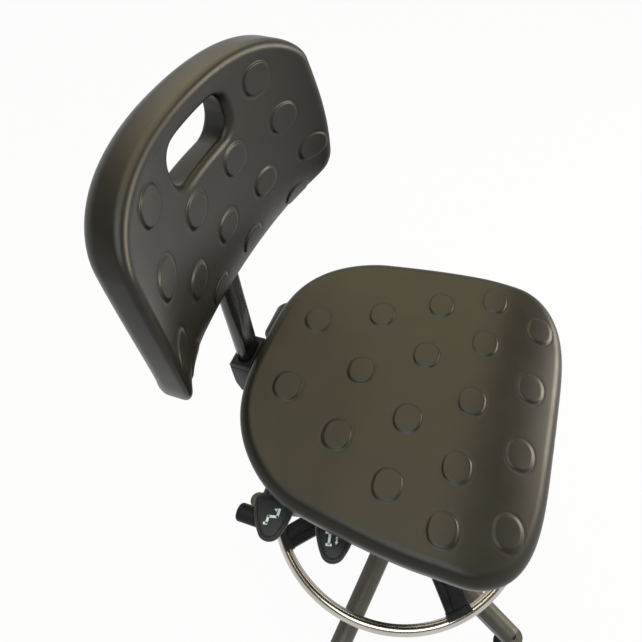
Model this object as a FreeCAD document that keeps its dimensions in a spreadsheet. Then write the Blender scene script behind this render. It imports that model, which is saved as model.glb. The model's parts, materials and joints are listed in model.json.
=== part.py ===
import FreeCAD, Part
import Sketcher
import math
import os

Vector = FreeCAD.Vector
Placement = FreeCAD.Placement
Rotation = FreeCAD.Rotation

# A high work chair with a moulded seat and backrest, a gas lift, a foot ring and a five-leg base.
# Millimetres, +Z up, floor at Z 0, column axis on Z, the sitter faces -Y and has the levers on -X.

SIZES = (
    # seat cushion
    ("seat_width", 438), ("seat_front", 197), ("seat_rear", 216), ("seat_top", 679),
    ("seat_thickness", 46), ("seat_front_drop", 30), ("seat_rear_rise", 22), ("seat_dish", 4),
    ("seat_edge", 15), ("seat_corner_length", 88), ("seat_tail_length", 126),
    ("seat_side_taper", 44),
    # backrest cushion
    ("back_width", 380), ("back_bottom", 804), ("back_height", 260), ("back_offset", 9),
    ("back_thickness", 40), ("back_curve", 420), ("back_curl", 10), ("back_edge", 12),
    ("back_lumbar", 81), ("back_side_taper", 24), ("back_lower_taper", 32),
    ("back_shoulder", 52), ("back_skirt", 58), ("back_top_sweep", 16), ("back_top_curl", 14),
    ("back_bottom_sweep", 14), ("back_corner_sweep", 26),
    ("slot_length", 106), ("slot_height", 46), ("slot_corner", 15), ("slot_drop", 49),
    # raised dots on both cushions
    ("dot_size", 42), ("dot_rise", 1.4),
    # five-leg base
    ("leg_reach", 308), ("leg_width", 36), ("leg_root_width", 41), ("leg_tip_top", 98),
    ("leg_root_top", 130), ("leg_tip_depth", 32), ("leg_root_depth", 42), ("leg_wall", 4),
    ("base_turn", 27.2), ("hub_radius", 37), ("hub_rise", 10), ("hub_lip", 5), ("leg_sink", 6),
    ("hollow_start", 14), ("hollow_end", 4), ("hollow_root_drop", 6), ("hollow_tip_drop", 2),
    # glide feet
    ("glide_radius", 24), ("glide_lip", 7), ("glide_neck", 10), ("glide_collar", 15),
    ("glide_pin", 5.5), ("glide_pin_length", 22), ("glide_chamfer", 2), ("glide_collar_height", 4),
    # column
    ("tube_radius", 25), ("tube_wall", 2), ("tube_bottom", 74), ("tube_top", 430),
    ("tube_floor", 4), ("bush_length", 85), ("bush_flange", 3), ("bush_lip", 6),
    ("cylinder_radius", 14), ("cylinder_wall", 2.2), ("cylinder_bottom", 205),
    ("cylinder_drop", 19), ("taper_length", 58), ("taper_drop", 1), ("gland_length", 14),
    ("cap_thickness", 16), ("rod_radius", 5), ("piston_drop", 78), ("piston_length", 14),
    ("bearing_radius", 19), ("bearing_height", 9), ("clip_radius", 9), ("clip_height", 4),
    ("pin_radius", 3), ("pin_rise", 6), ("pin_length", 24), ("pin_chamfer", 1),
    ("rod_tail", 3), ("rod_shoulder", 4), ("rod_shoulder_height", 3),
    ("running_gap", 0.05), ("free_gap", 0.3), ("rocking_gap", 0.5),
    # foot ring
    ("ring_radius", 232), ("ring_tube_radius", 9.5), ("ring_level", 279), ("ring_turn", 41.1),
    ("sleeve_radius", 37), ("sleeve_bottom", 268), ("sleeve_height", 58),
    ("spoke_width", 40), ("spoke_depth", 9), ("spoke_rib", 12), ("spoke_rib_rise", 12),
    ("spoke_root_level", 312), ("saddle_span", 11), ("saddle_wall", 4.5), ("ring_knob_radius", 20),
    ("ring_knob_length", 26), ("ring_screw_radius", 4), ("ring_screw_length", 24),
    ("ring_knob_neck", 14), ("ring_knob_flange", 5), ("ring_knob_round", 6),
    ("sleeve_round", 4), ("sleeve_round_height", 6), ("spoke_lap", 5), ("saddle_lap", 3),
    # mechanism
    ("pan_width", 124), ("pan_front", 92), ("pan_tail", 16), ("pan_height", 46),
    ("pan_wall", 2.5), ("plate_width", 200), ("plate_length", 210), ("plate_thickness", 3),
    ("board_thickness", 7), ("board_inset", 34), ("socket_radius", 21), ("socket_height", 50),
    ("bolt_spread_x", 82), ("bolt_spread_y", 86), ("bolt_radius", 4), ("bolt_head", 7),
    ("bolt_head_height", 5), ("axle_radius", 6), ("axle_reach", 112), ("axle_drop", 29),
    ("axle_end", 4), ("board_corner", 45), ("board_corner_radius", 60), ("board_waist", 12),
    ("board_tail", 70), ("board_side_radius", 190),
    # levers
    ("lever_rod_radius", 4.5), ("lever_drop", 20), ("lift_lever_place", 50),
    ("back_lever_place", 134), ("paddle_root", 166), ("paddle_length", 66), ("paddle_width", 54),
    ("paddle_thickness", 9), ("paddle_bulge", 95), ("paddle_nose", 13), ("paddle_panel", 5),
    ("paddle_groove", 0.6), ("paddle_boss", 8), ("tongue_width", 12), ("tongue_thickness", 4),
    ("cross_pin_radius", 2), ("cross_pin_length", 17), ("plate_corner", 18),
    ("paddle_corner", 12), ("paddle_corner_radius", 16), ("paddle_tip", 7), ("paddle_sweep", 12),
    ("rod_end_gap", 8),
    ("tilt_lever_gap", 15), ("tilt_lever_drop", 36), ("tilt_lever_reach", 201),
    ("grip_radius", 12), ("grip_length", 36), ("grip_offset", 12), ("grip_round", 5),
    # back carrier and stem
    ("arm_width", 50), ("arm_thickness", 8), ("arm_eye", 13), ("box_width", 54),
    ("box_ahead", 44), ("box_behind", 18), ("box_rise", 52), ("box_drop", 26), ("box_step", 24),
    ("box_chamfer", 6), ("box_heel", 22), ("box_rear_chamfer", 4),
    ("stem_inset", 25), ("stem_width", 40), ("stem_depth", 20), ("stem_wall", 2.5),
    ("stem_tail", 8), ("stem_reach", 152), ("stem_fit", 0.4), ("plug_height", 8),
    ("back_plate_width", 90), ("back_plate_height", 120), ("back_plate_thickness", 3),
    ("back_plate_rise", 27), ("back_bolt_spread", 70), ("knob_radius", 26), ("knob_length", 80),
    ("knob_screw_radius", 5), ("knob_screw_length", 14), ("knob_rise", 12), ("knob_offset", 21),
)

LEGS = 5
SPOKES = 4

# Rows of raised dots: the row's place, and each dot's place across it as a share of the full width
SEAT_DOTS = (
    ("-seat_front * 0.766", (-0.338, -0.113, 0.113, 0.338)),
    ("-seat_front * 0.398", (-0.393, -0.217, 0.0, 0.217, 0.393)),
    ("-seat_front * 0.023", (-0.323, -0.115, 0.115, 0.323)),
    ("seat_rear * 0.343", (-0.226, 0.0, 0.226)),
    ("seat_rear * 0.73", (-0.13, 0.13)),
)
BACK_DOTS = (
    ("back_bottom + back_height * 0.838", (-0.268, 0.268)),
    ("back_bottom + back_height * 0.612", (-0.334, -0.109, 0.109, 0.334)),
    ("back_bottom + back_height * 0.389", (-0.424, -0.212, 0.0, 0.212, 0.424)),
    ("back_bottom + back_height * 0.155", (-0.36, -0.11, 0.11, 0.36)),
)

# How square the corners of the cushions are: 2 is an ellipse, more is squarer
SEAT_CORNER_POWER = 4.3
SEAT_TAIL_POWER = 3.2
SHOULDER_POWER = 3.2
SKIRT_POWER = 3.1

# How late the seat's side taper and the curl of the backrest's rim set in: 1 is evenly
TAPER_POWER = 1.5
CURL_POWER = 8

# Where the cushions' sections lie near their ends, in edge radii, and how many lie between
SEAT_INSETS = (0.02, 0.15, 0.5, 1.0, 2.2)
SEAT_MIDDLE_SECTIONS = 7
BACK_INSETS = (0.03, 0.2, 0.55, 1.0, 2.0, 3.2)
BACK_MIDDLE_SECTIONS = 5

# Places that follow from the driving sizes, named here and used like them
PLACES = {
    "overcut": "pan_wall * 2",
    "underside": "seat_top - seat_thickness",
    "seat_taper_start": "-seat_front * 0.32",
    "seat_roll_start": "-seat_front * 0.31",
    "seat_rise_start": "seat_rear * 0.36",
    "board_rear": "seat_rear - board_inset",
    "pan_top": "underside - board_thickness - plate_thickness",
    "pan_bottom": "pan_top - pan_height",
    "pan_rear": "tilt_lever_place + pan_tail",
    "cylinder_top": "pan_top - cylinder_drop",
    "pin_top": "cylinder_top + pin_rise",
    "lever_level": "pan_top - lever_drop",
    "lever_end": "paddle_root + paddle_length * 0.45",
    "lever_pivot": "pan_width / 2 - pan_wall - cross_pin_radius - free_gap",
    "tilt_lever_level": "pan_top - tilt_lever_drop",
    "tilt_lever_place": "back_lever_place + tilt_lever_gap",
    "axle_level": "pan_top - axle_drop",
    "back_face": "seat_rear + back_offset",
    "back_top": "back_bottom + back_height",
    "back_lumbar_level": "back_bottom + back_lumbar",
    "slot_level": "back_top - slot_drop",
    "stem_place": "back_face + stem_inset",
    "stem_top": "back_bottom + stem_reach",
    "stem_bottom": "box_bottom - stem_tail",
    "stem_way_bottom": "back_bottom - stem_depth",
    "box_front": "stem_place - box_ahead",
    "box_rear": "stem_place + box_behind",
    "box_top": "axle_level + box_rise",
    "box_bottom": "axle_level - box_drop",
    "back_plate_bottom": "back_bottom + back_plate_rise",
    "knob_level": "axle_level + knob_rise",
    "knob_place": "stem_place - knob_offset",
    "foot_top": "leg_tip_top - leg_tip_depth",
    "hub_bottom": "leg_root_top - leg_root_depth",
    "bearing_top": "tube_bottom + tube_floor + bearing_height",
    "piston_level": "tube_top - piston_drop",
    "sleeve_top": "sleeve_bottom + sleeve_height",
    "ring_knob_face": "sleeve_radius + ring_screw_length",
    "ring_screw_level": "sleeve_bottom + sleeve_height * 0.3",
}

doc = FreeCAD.newDocument("work_chair")
sheet = doc.addObject("Spreadsheet::Sheet", "Sizes")
for row, (alias, worth) in enumerate(SIZES, start=1):
    sheet.set("A%d" % row, alias)
    sheet.set("B%d" % row, str(worth))
    sheet.setAlias("B%d" % row, alias)
doc.recompute()

ALIASES = {alias for alias, worth in SIZES}


def formula(text):
    """An expression in aliases and places, written out as the document reads it."""
    words = []
    word = ""
    for letter in text + " ":
        if letter.isalnum() or letter in "_.":
            word += letter
            continue
        if word in PLACES:
            word = "(%s)" % formula(PLACES[word])
        elif word in ALIASES:
            word = "Sizes." + word
        words.append(word)
        words.append(letter)
        word = ""
    return "".join(words).strip()


def size(text):
    """The value of an expression in aliases and places."""
    return float(sheet.evalExpression(formula(str(text))))


def bind(item, **fields):
    """Bind properties of an object to expressions in aliases."""
    for field, text in fields.items():
        item.setExpression(field.replace("__", "."), formula(str(text)))
    return item


def place(item, x="0", y="0", z="0", axis=None, turn=0):
    """Put an object at an expressed place, turned about an axis."""
    if axis is not None:
        item.Placement = Placement(Vector(), Rotation(Vector(*axis), turn))
    for field, text in (("x", x), ("y", y), ("z", z)):
        item.setExpression("Placement.Base." + field, formula(str(text)))
    return item


def cylinder(name, radius, height, **where):
    item = doc.addObject("Part::Cylinder", name)
    bind(item, Radius=radius, Height=height)
    return place(item, **where)


def box(name, length, width, height, **where):
    item = doc.addObject("Part::Box", name)
    bind(item, Length=length, Width=width, Height=height)
    return place(item, **where)


def cut(name, base, tool):
    item = doc.addObject("Part::Cut", name)
    item.Base = base
    item.Tool = tool
    return item


def fuse(name, pieces):
    item = doc.addObject("Part::MultiFuse", name)
    item.Shapes = pieces
    item.Refine = True
    return item


def new_body(label):
    item = doc.addObject("PartDesign::Body", label)
    item.Label = label
    return item


def origin_plane(owner, role):
    for feature in owner.Origin.OriginFeatures:
        if feature.Role == role:
            return feature
    raise RuntimeError("no plane " + role)


def arc_between(start, end, radius):
    """An arc from start to end, bulging to the right of that way for a positive radius."""
    chord = end.sub(start)
    across = Vector(chord.y, -chord.x, 0).normalize()
    half = chord.Length / 2
    rise = abs(radius) - math.sqrt(max(radius * radius - half * half, 0.0))
    middle = start.add(end).multiply(0.5).add(across.multiply(math.copysign(rise, radius)))
    if radius < 0:
        return Part.Arc(end, middle, start)
    return Part.Arc(start, middle, end)


def add_profile(owner, name, role, corners, offset="0"):
    """A closed sketch through corners (x, y) or (x, y, radius of the side that leaves it)."""
    sketch = owner.newObject("Sketcher::SketchObject", name)
    sketch.AttachmentSupport = [(origin_plane(owner, role), "")]
    sketch.MapMode = "FlatFace"
    sketch.setExpression("AttachmentOffset.Base.z", formula(str(offset)))
    spots = [Vector(size(corner[0]), size(corner[1]), 0) for corner in corners]
    count = len(corners)
    for index, corner in enumerate(corners):
        start = spots[index]
        end = spots[(index + 1) % count]
        if len(corner) > 2:
            sketch.addGeometry(arc_between(start, end, size(corner[2])), False)
        else:
            sketch.addGeometry(Part.LineSegment(start, end), False)
    ends = []
    for index in range(count):
        shape = sketch.Geometry[index]
        forward = shape.StartPoint.distanceToPoint(spots[index]) < 1e-6
        ends.append((1, 2) if forward else (2, 1))
    for index, corner in enumerate(corners):
        following = (index + 1) % count
        sketch.addConstraint(Sketcher.Constraint(
            "Coincident", index, ends[index][1], following, ends[following][0]))
    for index, corner in enumerate(corners):
        for kind, axis, text in (("DistanceX", -2, corner[0]), ("DistanceY", -1, corner[1])):
            if str(text) == "0":
                sketch.addConstraint(Sketcher.Constraint(
                    "PointOnObject", index, ends[index][0], axis))
                continue
            spot = spots[index].x if kind == "DistanceX" else spots[index].y
            held = sketch.addConstraint(Sketcher.Constraint(
                kind, -1, 1, index, ends[index][0], spot))
            sketch.setExpression("Constraints[%d]" % held, formula(str(text)))
        if len(corner) > 2:
            held = sketch.addConstraint(Sketcher.Constraint(
                "Radius", index, abs(size(corner[2]))))
            sketch.setExpression("Constraints[%d]" % held, formula("abs(%s)" % corner[2]))
    return sketch


def revolve(owner, name, sketch, axis="V_Axis"):
    feature = owner.newObject("PartDesign::Revolution", name)
    feature.Profile = sketch
    feature.ReferenceAxis = (sketch, [axis])
    feature.Angle = 360
    owner.Tip = feature
    return feature


def pad(owner, name, sketch, length, midplane=False):
    feature = owner.newObject("PartDesign::Pad", name)
    feature.Profile = sketch
    bind(feature, Length=length)
    if midplane:
        feature.SideType = "Symmetric"
    owner.Tip = feature
    return feature


def polar(owner, name, features, count):
    feature = owner.newObject("PartDesign::PolarPattern", name)
    feature.Originals = features
    feature.Axis = (origin_axis(owner, "Z_Axis"), [""])
    feature.Angle = 360
    feature.Occurrences = count
    owner.Tip = feature
    return feature


def origin_axis(owner, role):
    return origin_plane(owner, role)


def turned_body(label, corners):
    """A body turned about Z from half-profile corners (radius, level)."""
    owner = new_body(label)
    revolve(owner, label + "_turned", add_profile(owner, label + "_profile", "XZ_Plane", corners))
    return owner


def solid_feature(label, shape):
    item = doc.addObject("Part::Feature", label)
    item.Shape = shape
    item.Label = label
    return item


NODES = []


def keep(item, label):
    """Name a finished sub-part and list it for writing."""
    item.Label = label
    NODES.append(item)
    return item


# Five-leg base: a turned hub, one hollow leg with its foot boss, and the leg's pattern

def leg_section(owner, name, offset, width, top, depth, shrink="0"):
    half = "(%s) / 2 - (%s)" % (width, shrink)
    shoulder = "(%s) - (%s) / 3" % (top, depth)
    bottom = "(%s) - (%s)" % (top, depth)
    crown = "(%s) * 0.56 - (%s)" % (width, shrink)
    corners = (
        ("-(%s)" % half, bottom),
        (half, bottom),
        (half, shoulder, crown),
        ("-(%s)" % half, shoulder),
    )
    return add_profile(owner, name, "YZ_Plane", corners, offset)


def build_base():
    star = new_body("base_star")
    hub_corners = (
        ("tube_radius", "hub_bottom"),
        ("hub_radius", "hub_bottom"),
        ("hub_radius", "leg_root_top"),
        ("tube_radius + hub_lip", "leg_root_top + hub_rise"),
        ("tube_radius", "leg_root_top + hub_rise"),
    )
    revolve(star, "hub", add_profile(star, "hub_profile", "XZ_Plane", hub_corners))
    root = leg_section(star, "leg_root", "hub_radius - leg_sink", "leg_root_width", "leg_root_top",
                       "leg_root_depth")
    tip = leg_section(star, "leg_tip", "leg_reach", "leg_width", "leg_tip_top", "leg_tip_depth")
    leg = star.newObject("PartDesign::AdditiveLoft", "leg")
    leg.Profile = root
    leg.Sections = [tip]
    leg.Ruled = True
    star.Tip = leg
    boss_sketch = star.newObject("Sketcher::SketchObject", "boss_circle")
    boss_sketch.AttachmentSupport = [(origin_plane(star, "XY_Plane"), "")]
    boss_sketch.MapMode = "FlatFace"
    boss_sketch.setExpression("AttachmentOffset.Base.z", formula("foot_top"))
    boss_sketch.addGeometry(Part.Circle(Vector(size("leg_reach"), 0, 0), Vector(0, 0, 1),
                                        size("leg_width") / 2), False)
    boss_sketch.addConstraint(Sketcher.Constraint("PointOnObject", 0, 3, -1))
    held = boss_sketch.addConstraint(Sketcher.Constraint("DistanceX", -1, 1, 0, 3, size("leg_reach")))
    boss_sketch.setExpression("Constraints[%d]" % held, formula("leg_reach"))
    held = boss_sketch.addConstraint(Sketcher.Constraint("Radius", 0, size("leg_width") / 2))
    boss_sketch.setExpression("Constraints[%d]" % held, formula("leg_width / 2"))
    boss = pad(star, "boss", boss_sketch, "leg_tip_depth * 2 / 3")
    doc.recompute()
    polar(star, "legs", [leg, boss], LEGS)
    doc.recompute()
    # the hollow under each leg and the socket of its foot
    hollow_root = leg_section(star, "hollow_root", "hub_radius + hollow_start", "leg_root_width",
                              "leg_root_top - leg_wall - hollow_root_drop", "leg_root_depth", "leg_wall")
    hollow_tip = leg_section(star, "hollow_tip", "leg_reach - leg_width / 2 - hollow_end", "leg_width",
                             "leg_tip_top - leg_wall - hollow_tip_drop", "leg_tip_depth", "leg_wall")
    hollow = star.newObject("PartDesign::SubtractiveLoft", "hollow")
    hollow.Profile = hollow_root
    hollow.Sections = [hollow_tip]
    hollow.Ruled = True
    star.Tip = hollow
    socket_sketch = star.newObject("Sketcher::SketchObject", "socket_circle")
    socket_sketch.AttachmentSupport = [(origin_plane(star, "XY_Plane"), "")]
    socket_sketch.MapMode = "FlatFace"
    socket_sketch.setExpression("AttachmentOffset.Base.z", formula("foot_top"))
    socket_sketch.addGeometry(Part.Circle(Vector(size("leg_reach"), 0, 0), Vector(0, 0, 1),
                                          size("glide_pin")), False)
    socket_sketch.addConstraint(Sketcher.Constraint("PointOnObject", 0, 3, -1))
    held = socket_sketch.addConstraint(Sketcher.Constraint("DistanceX", -1, 1, 0, 3, size("leg_reach")))
    socket_sketch.setExpression("Constraints[%d]" % held, formula("leg_reach"))
    held = socket_sketch.addConstraint(Sketcher.Constraint("Radius", 0, size("glide_pin")))
    socket_sketch.setExpression("Constraints[%d]" % held, formula("glide_pin"))
    socket = star.newObject("PartDesign::Pocket", "socket")
    socket.Profile = socket_sketch
    bind(socket, Length="glide_pin_length")
    socket.Reversed = True
    star.Tip = socket
    doc.recompute()
    polar(star, "hollows", [hollow, socket], LEGS)
    star.Placement = Placement(Vector(), Rotation(Vector(0, 0, 1), size("base_turn")))
    star.setExpression("Placement.Rotation.Angle", formula("base_turn"))
    keep(star, "base_star")


def build_glides():
    for index in range(LEGS):
        label = "glide_%d" % (index + 1)
        corners = (
            ("0", "0"),
            ("glide_radius - glide_chamfer", "0"),
            ("glide_radius", "glide_chamfer"),
            ("glide_radius", "glide_lip"),
            ("glide_neck", "glide_lip * 3"),
            ("glide_neck", "foot_top - glide_collar_height - glide_chamfer"),
            ("glide_collar", "foot_top - glide_collar_height"),
            ("glide_collar", "foot_top"),
            ("glide_pin", "foot_top"),
            ("glide_pin", "foot_top + glide_pin_length"),
            ("0", "foot_top + glide_pin_length"),
        )
        glide = turned_body(label, corners)
        angle = "(base_turn + %d) * 1 deg" % (index * 360 // LEGS)
        place(glide, x="leg_reach * cos(%s)" % angle, y="leg_reach * sin(%s)" % angle)
        keep(glide, label)


# Column: stand tube, bush, bearing and the gas spring's rod and cylinder

def build_column():
    tube_corners = (
        ("tube_radius - tube_wall", "tube_bottom"),
        ("tube_radius", "tube_bottom"),
        ("tube_radius", "tube_top"),
        ("tube_radius - tube_wall", "tube_top"),
    )
    keep(turned_body("stand_tube", tube_corners), "stand_tube")

    plate_corners = (
        ("rod_radius + free_gap", "tube_bottom"),
        ("tube_radius - tube_wall", "tube_bottom"),
        ("tube_radius - tube_wall", "tube_bottom + tube_floor"),
        ("rod_radius + free_gap", "tube_bottom + tube_floor"),
    )
    keep(turned_body("tube_floor_plate", plate_corners), "tube_floor_plate")

    bearing_corners = (
        ("rod_radius + free_gap", "tube_bottom + tube_floor"),
        ("bearing_radius", "tube_bottom + tube_floor"),
        ("bearing_radius", "bearing_top"),
        ("rod_radius + free_gap", "bearing_top"),
    )
    keep(turned_body("thrust_bearing", bearing_corners), "thrust_bearing")

    bush_corners = (
        ("cylinder_radius + running_gap", "tube_top - bush_length"),
        ("tube_radius - tube_wall", "tube_top - bush_length"),
        ("tube_radius - tube_wall", "tube_top"),
        ("tube_radius + bush_flange", "tube_top"),
        ("tube_radius + bush_flange", "tube_top + bush_lip / 2"),
        ("tube_radius", "tube_top + bush_lip"),
        ("cylinder_radius + running_gap", "tube_top + bush_lip"),
    )
    keep(turned_body("guide_bush", bush_corners), "guide_bush")

    rod_corners = (
        ("0", "tube_bottom - clip_height - rod_tail"),
        ("rod_radius", "tube_bottom - clip_height - rod_tail"),
        ("rod_radius", "bearing_top"),
        ("rod_radius + rod_shoulder", "bearing_top"),
        ("rod_radius + rod_shoulder", "bearing_top + rod_shoulder_height"),
        ("rod_radius", "bearing_top + rod_shoulder_height"),
        ("rod_radius", "piston_level"),
        ("cylinder_radius - cylinder_wall - free_gap", "piston_level"),
        ("cylinder_radius - cylinder_wall - free_gap", "piston_level + piston_length"),
        ("0", "piston_level + piston_length"),
    )
    keep(turned_body("piston_rod", rod_corners), "piston_rod")

    clip_corners = (
        ("rod_radius", "tube_bottom - clip_height"),
        ("clip_radius", "tube_bottom - clip_height"),
        ("clip_radius", "tube_bottom - free_gap"),
        ("rod_radius", "tube_bottom - free_gap"),
    )
    keep(turned_body("retaining_clip", clip_corners), "retaining_clip")

    bore = "cylinder_radius - cylinder_wall"
    cylinder_corners = (
        ("rod_radius + free_gap", "cylinder_bottom"),
        ("cylinder_radius", "cylinder_bottom"),
        ("cylinder_radius", "cylinder_top - taper_length"),
        ("cylinder_radius - taper_drop", "cylinder_top"),
        ("pin_radius + free_gap", "cylinder_top"),
        ("pin_radius + free_gap", "cylinder_top - cap_thickness"),
        (bore, "cylinder_top - cap_thickness"),
        (bore, "cylinder_bottom + gland_length"),
        ("rod_radius + free_gap", "cylinder_bottom + gland_length"),
    )
    keep(turned_body("gas_cylinder", cylinder_corners), "gas_cylinder")

    pin_corners = (
        ("0", "pin_top - pin_length"),
        ("pin_radius", "pin_top - pin_length"),
        ("pin_radius", "pin_top - pin_chamfer"),
        ("pin_radius - pin_chamfer", "pin_top"),
        ("0", "pin_top"),
    )
    keep(turned_body("valve_pin", pin_corners), "valve_pin")


# Foot ring: a bent tube held by a four-arm moulded spider that slides on the column

def build_foot_ring():
    ring = doc.addObject("Part::Torus", "ring_tube")
    bind(ring, Radius1="ring_radius", Radius2="ring_tube_radius")
    place(ring, z="ring_level")
    keep(ring, "ring_tube")

    spider = new_body("ring_spider_moulding")
    sleeve_corners = (
        ("tube_radius + running_gap", "sleeve_bottom"),
        ("sleeve_radius", "sleeve_bottom"),
        ("sleeve_radius", "sleeve_top - sleeve_round_height"),
        ("sleeve_radius - sleeve_round", "sleeve_top"),
        ("tube_radius + running_gap", "sleeve_top"),
    )
    revolve(spider, "sleeve", add_profile(spider, "sleeve_profile", "XZ_Plane", sleeve_corners))
    inner = "ring_radius - ring_tube_radius - saddle_wall"
    lower = "ring_level + ring_tube_radius * 0.2"
    upper = "ring_level + ring_tube_radius + saddle_wall"
    flange_corners = (
        ("sleeve_radius - spoke_lap", "spoke_root_level - spoke_depth", "-(ring_radius * 1.4)"),
        (inner + " + saddle_lap", lower),
        (inner + " + saddle_lap", lower + " + spoke_depth", "ring_radius * 1.4"),
        ("sleeve_radius - spoke_lap", "spoke_root_level"),
    )
    flange = pad(spider, "spoke_flange",
                 add_profile(spider, "flange_side", "XZ_Plane", flange_corners), "spoke_width", True)
    rib_corners = (
        ("sleeve_radius - spoke_lap", "spoke_root_level - spoke_depth / 2", "-(ring_radius * 1.4)"),
        (inner + " + saddle_lap", lower + " + spoke_depth / 2"),
        (inner + " + saddle_lap", upper + " - saddle_wall / 4", "ring_radius * 1.1"),
        ("sleeve_radius - spoke_lap", "spoke_root_level + spoke_rib_rise"),
    )
    rib = pad(spider, "spoke_rib",
              add_profile(spider, "rib_side", "XZ_Plane", rib_corners), "spoke_rib", True)
    saddle_corners = (
        (inner, lower),
        ("ring_radius + ring_tube_radius * 0.2", lower),
        ("ring_radius + ring_tube_radius * 0.2", upper),
        ("ring_radius - ring_tube_radius", upper),
        (inner, "ring_level + ring_tube_radius"),
    )
    saddle = spider.newObject("PartDesign::Revolution", "saddle")
    saddle_sketch = add_profile(spider, "saddle_profile", "XZ_Plane", saddle_corners)
    saddle.Profile = saddle_sketch
    saddle.ReferenceAxis = (saddle_sketch, ["V_Axis"])
    bind(saddle, Angle="saddle_span")
    saddle.Midplane = True
    spider.Tip = saddle
    doc.recompute()
    polar(spider, "spokes", [flange, rib, saddle], SPOKES)
    doc.recompute()
    channel = spider.newObject("PartDesign::Groove", "ring_channel")
    channel_sketch = spider.newObject("Sketcher::SketchObject", "channel_circle")
    channel_sketch.AttachmentSupport = [(origin_plane(spider, "XZ_Plane"), "")]
    channel_sketch.MapMode = "FlatFace"
    centre = Vector(size("ring_radius"), size("ring_level"), 0)
    channel_sketch.addGeometry(Part.Circle(centre, Vector(0, 0, 1), size("ring_tube_radius")), False)
    for kind, text in (("DistanceX", "ring_radius"), ("DistanceY", "ring_level")):
        held = channel_sketch.addConstraint(Sketcher.Constraint(kind, -1, 1, 0, 3, size(text)))
        channel_sketch.setExpression("Constraints[%d]" % held, formula(text))
    held = channel_sketch.addConstraint(Sketcher.Constraint("Radius", 0, size("ring_tube_radius")))
    channel_sketch.setExpression("Constraints[%d]" % held, formula("ring_tube_radius"))
    channel.Profile = channel_sketch
    channel.ReferenceAxis = (channel_sketch, ["V_Axis"])
    channel.Angle = 360
    spider.Tip = channel
    spider.Placement = Placement(Vector(), Rotation(Vector(0, 0, 1), size("ring_turn")))
    spider.setExpression("Placement.Rotation.Angle", formula("ring_turn"))
    # a tapped hole through the sleeve, midway between two spokes, for the clamping knob
    hole = cylinder("ring_screw_hole", "ring_screw_radius + free_gap", "sleeve_radius * 2",
                    z="ring_screw_level", axis=(0, 1, 0), turn=90)
    drilled = cut("ring_spider_drilled", spider, hole)
    keep(drilled, "ring_spider")

    knob = new_body("ring_knob")
    knob_corners = (
        ("0", "tube_radius + free_gap"),
        ("ring_screw_radius", "tube_radius + free_gap"),
        ("ring_screw_radius", "ring_knob_face - ring_knob_neck"),
        ("ring_screw_radius + ring_knob_flange", "ring_knob_face - ring_knob_neck"),
        ("ring_knob_radius", "ring_knob_face"),
        ("ring_knob_radius", "ring_knob_face + ring_knob_length - ring_knob_round", "ring_knob_radius"),
        ("ring_knob_radius * 0.5", "ring_knob_face + ring_knob_length"),
        ("0", "ring_knob_face + ring_knob_length"),
    )
    revolve(knob, "ring_knob_turned", add_profile(knob, "ring_knob_profile", "XZ_Plane", knob_corners))
    place(knob, z="ring_screw_level", axis=(0, 1, 0), turn=90)
    keep(knob, "ring_knob")


# Seat: cushion, board, plate and the mechanism's pan

def ellipse_fall(distance, reach, fall):
    """How far an elliptic round has fallen at a distance past its start."""
    share = min(max(distance / reach, 0.0), 1.0)
    return fall * (1.0 - math.sqrt(1.0 - share * share))


def section_wire(spots):
    """A closed wire of lines and arcs from ('line', a, b) and ('arc', a, b, c) rows."""
    edges = []
    for kind, *points in spots:
        if kind == "line":
            edges.append(Part.LineSegment(*points).toShape())
        else:
            edges.append(Part.Arc(*points).toShape())
    return Part.Wire(edges)


def seat_half_width(y):
    start = size("seat_taper_start")
    share = max(0.0, (y - start) / (size("seat_rear") - start))
    half = size("seat_width") / 2 - size("seat_side_taper") * share ** TAPER_POWER
    corner = max(0.0, 1.0 - (y + size("seat_front")) / size("seat_corner_length"))
    tail = max(0.0, 1.0 - (size("seat_rear") - y) / size("seat_tail_length"))
    half *= (1.0 - corner ** 2) ** (1.0 / SEAT_CORNER_POWER)
    return half * (1.0 - tail ** 2) ** (1.0 / SEAT_TAIL_POWER)


def seat_surface(y):
    """Top level along the middle of the seat, with the front roll and the raised rear."""
    level = size("seat_top")
    roll_start = size("seat_roll_start")
    if y < roll_start:
        level -= size("seat_front_drop") * ((roll_start - y) / (size("seat_front") + roll_start)) ** 2
    rise_start = size("seat_rise_start")
    if y > rise_start:
        level += size("seat_rear_rise") * ((y - rise_start) / (size("seat_rear") - rise_start)) ** 2
    return level


def seat_section(y, inset):
    """One upright section across the seat; inset is how far it lies inside the end's round."""
    edge = size("seat_edge")
    fall = ellipse_fall(edge - inset, edge, edge)
    top = seat_surface(y) - fall
    # the underside turns up with the top, behind the board
    bottom = size("underside") + fall * 0.5
    bottom += ellipse_fall(y - size("board_rear"), size("board_inset"), size("seat_rear_rise"))
    half = seat_half_width(y)
    height = top - bottom
    shoulder_x = half - edge * 0.9
    shoulder_z = top + size("seat_dish") * (shoulder_x / (size("seat_width") / 2)) ** 2 - height * 0.03
    waist = bottom + height * 0.5
    foot_x = half - height * 0.3
    rim = (half - edge * 0.27, shoulder_z - (shoulder_z - waist) * 0.26)
    heel = (half - height * 0.08, bottom + height * 0.18)

    def at(x, z):
        return Vector(x, y, z)

    return section_wire((
        ("line", at(-foot_x, bottom), at(foot_x, bottom)),
        ("arc", at(foot_x, bottom), at(*heel), at(half, waist)),
        ("arc", at(half, waist), at(*rim), at(shoulder_x, shoulder_z)),
        ("arc", at(shoulder_x, shoulder_z), at(0, top), at(-shoulder_x, shoulder_z)),
        ("arc", at(-shoulder_x, shoulder_z), at(-rim[0], rim[1]), at(-half, waist)),
        ("arc", at(-half, waist), at(-heel[0], heel[1]), at(-foot_x, bottom)),
    ))


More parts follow.
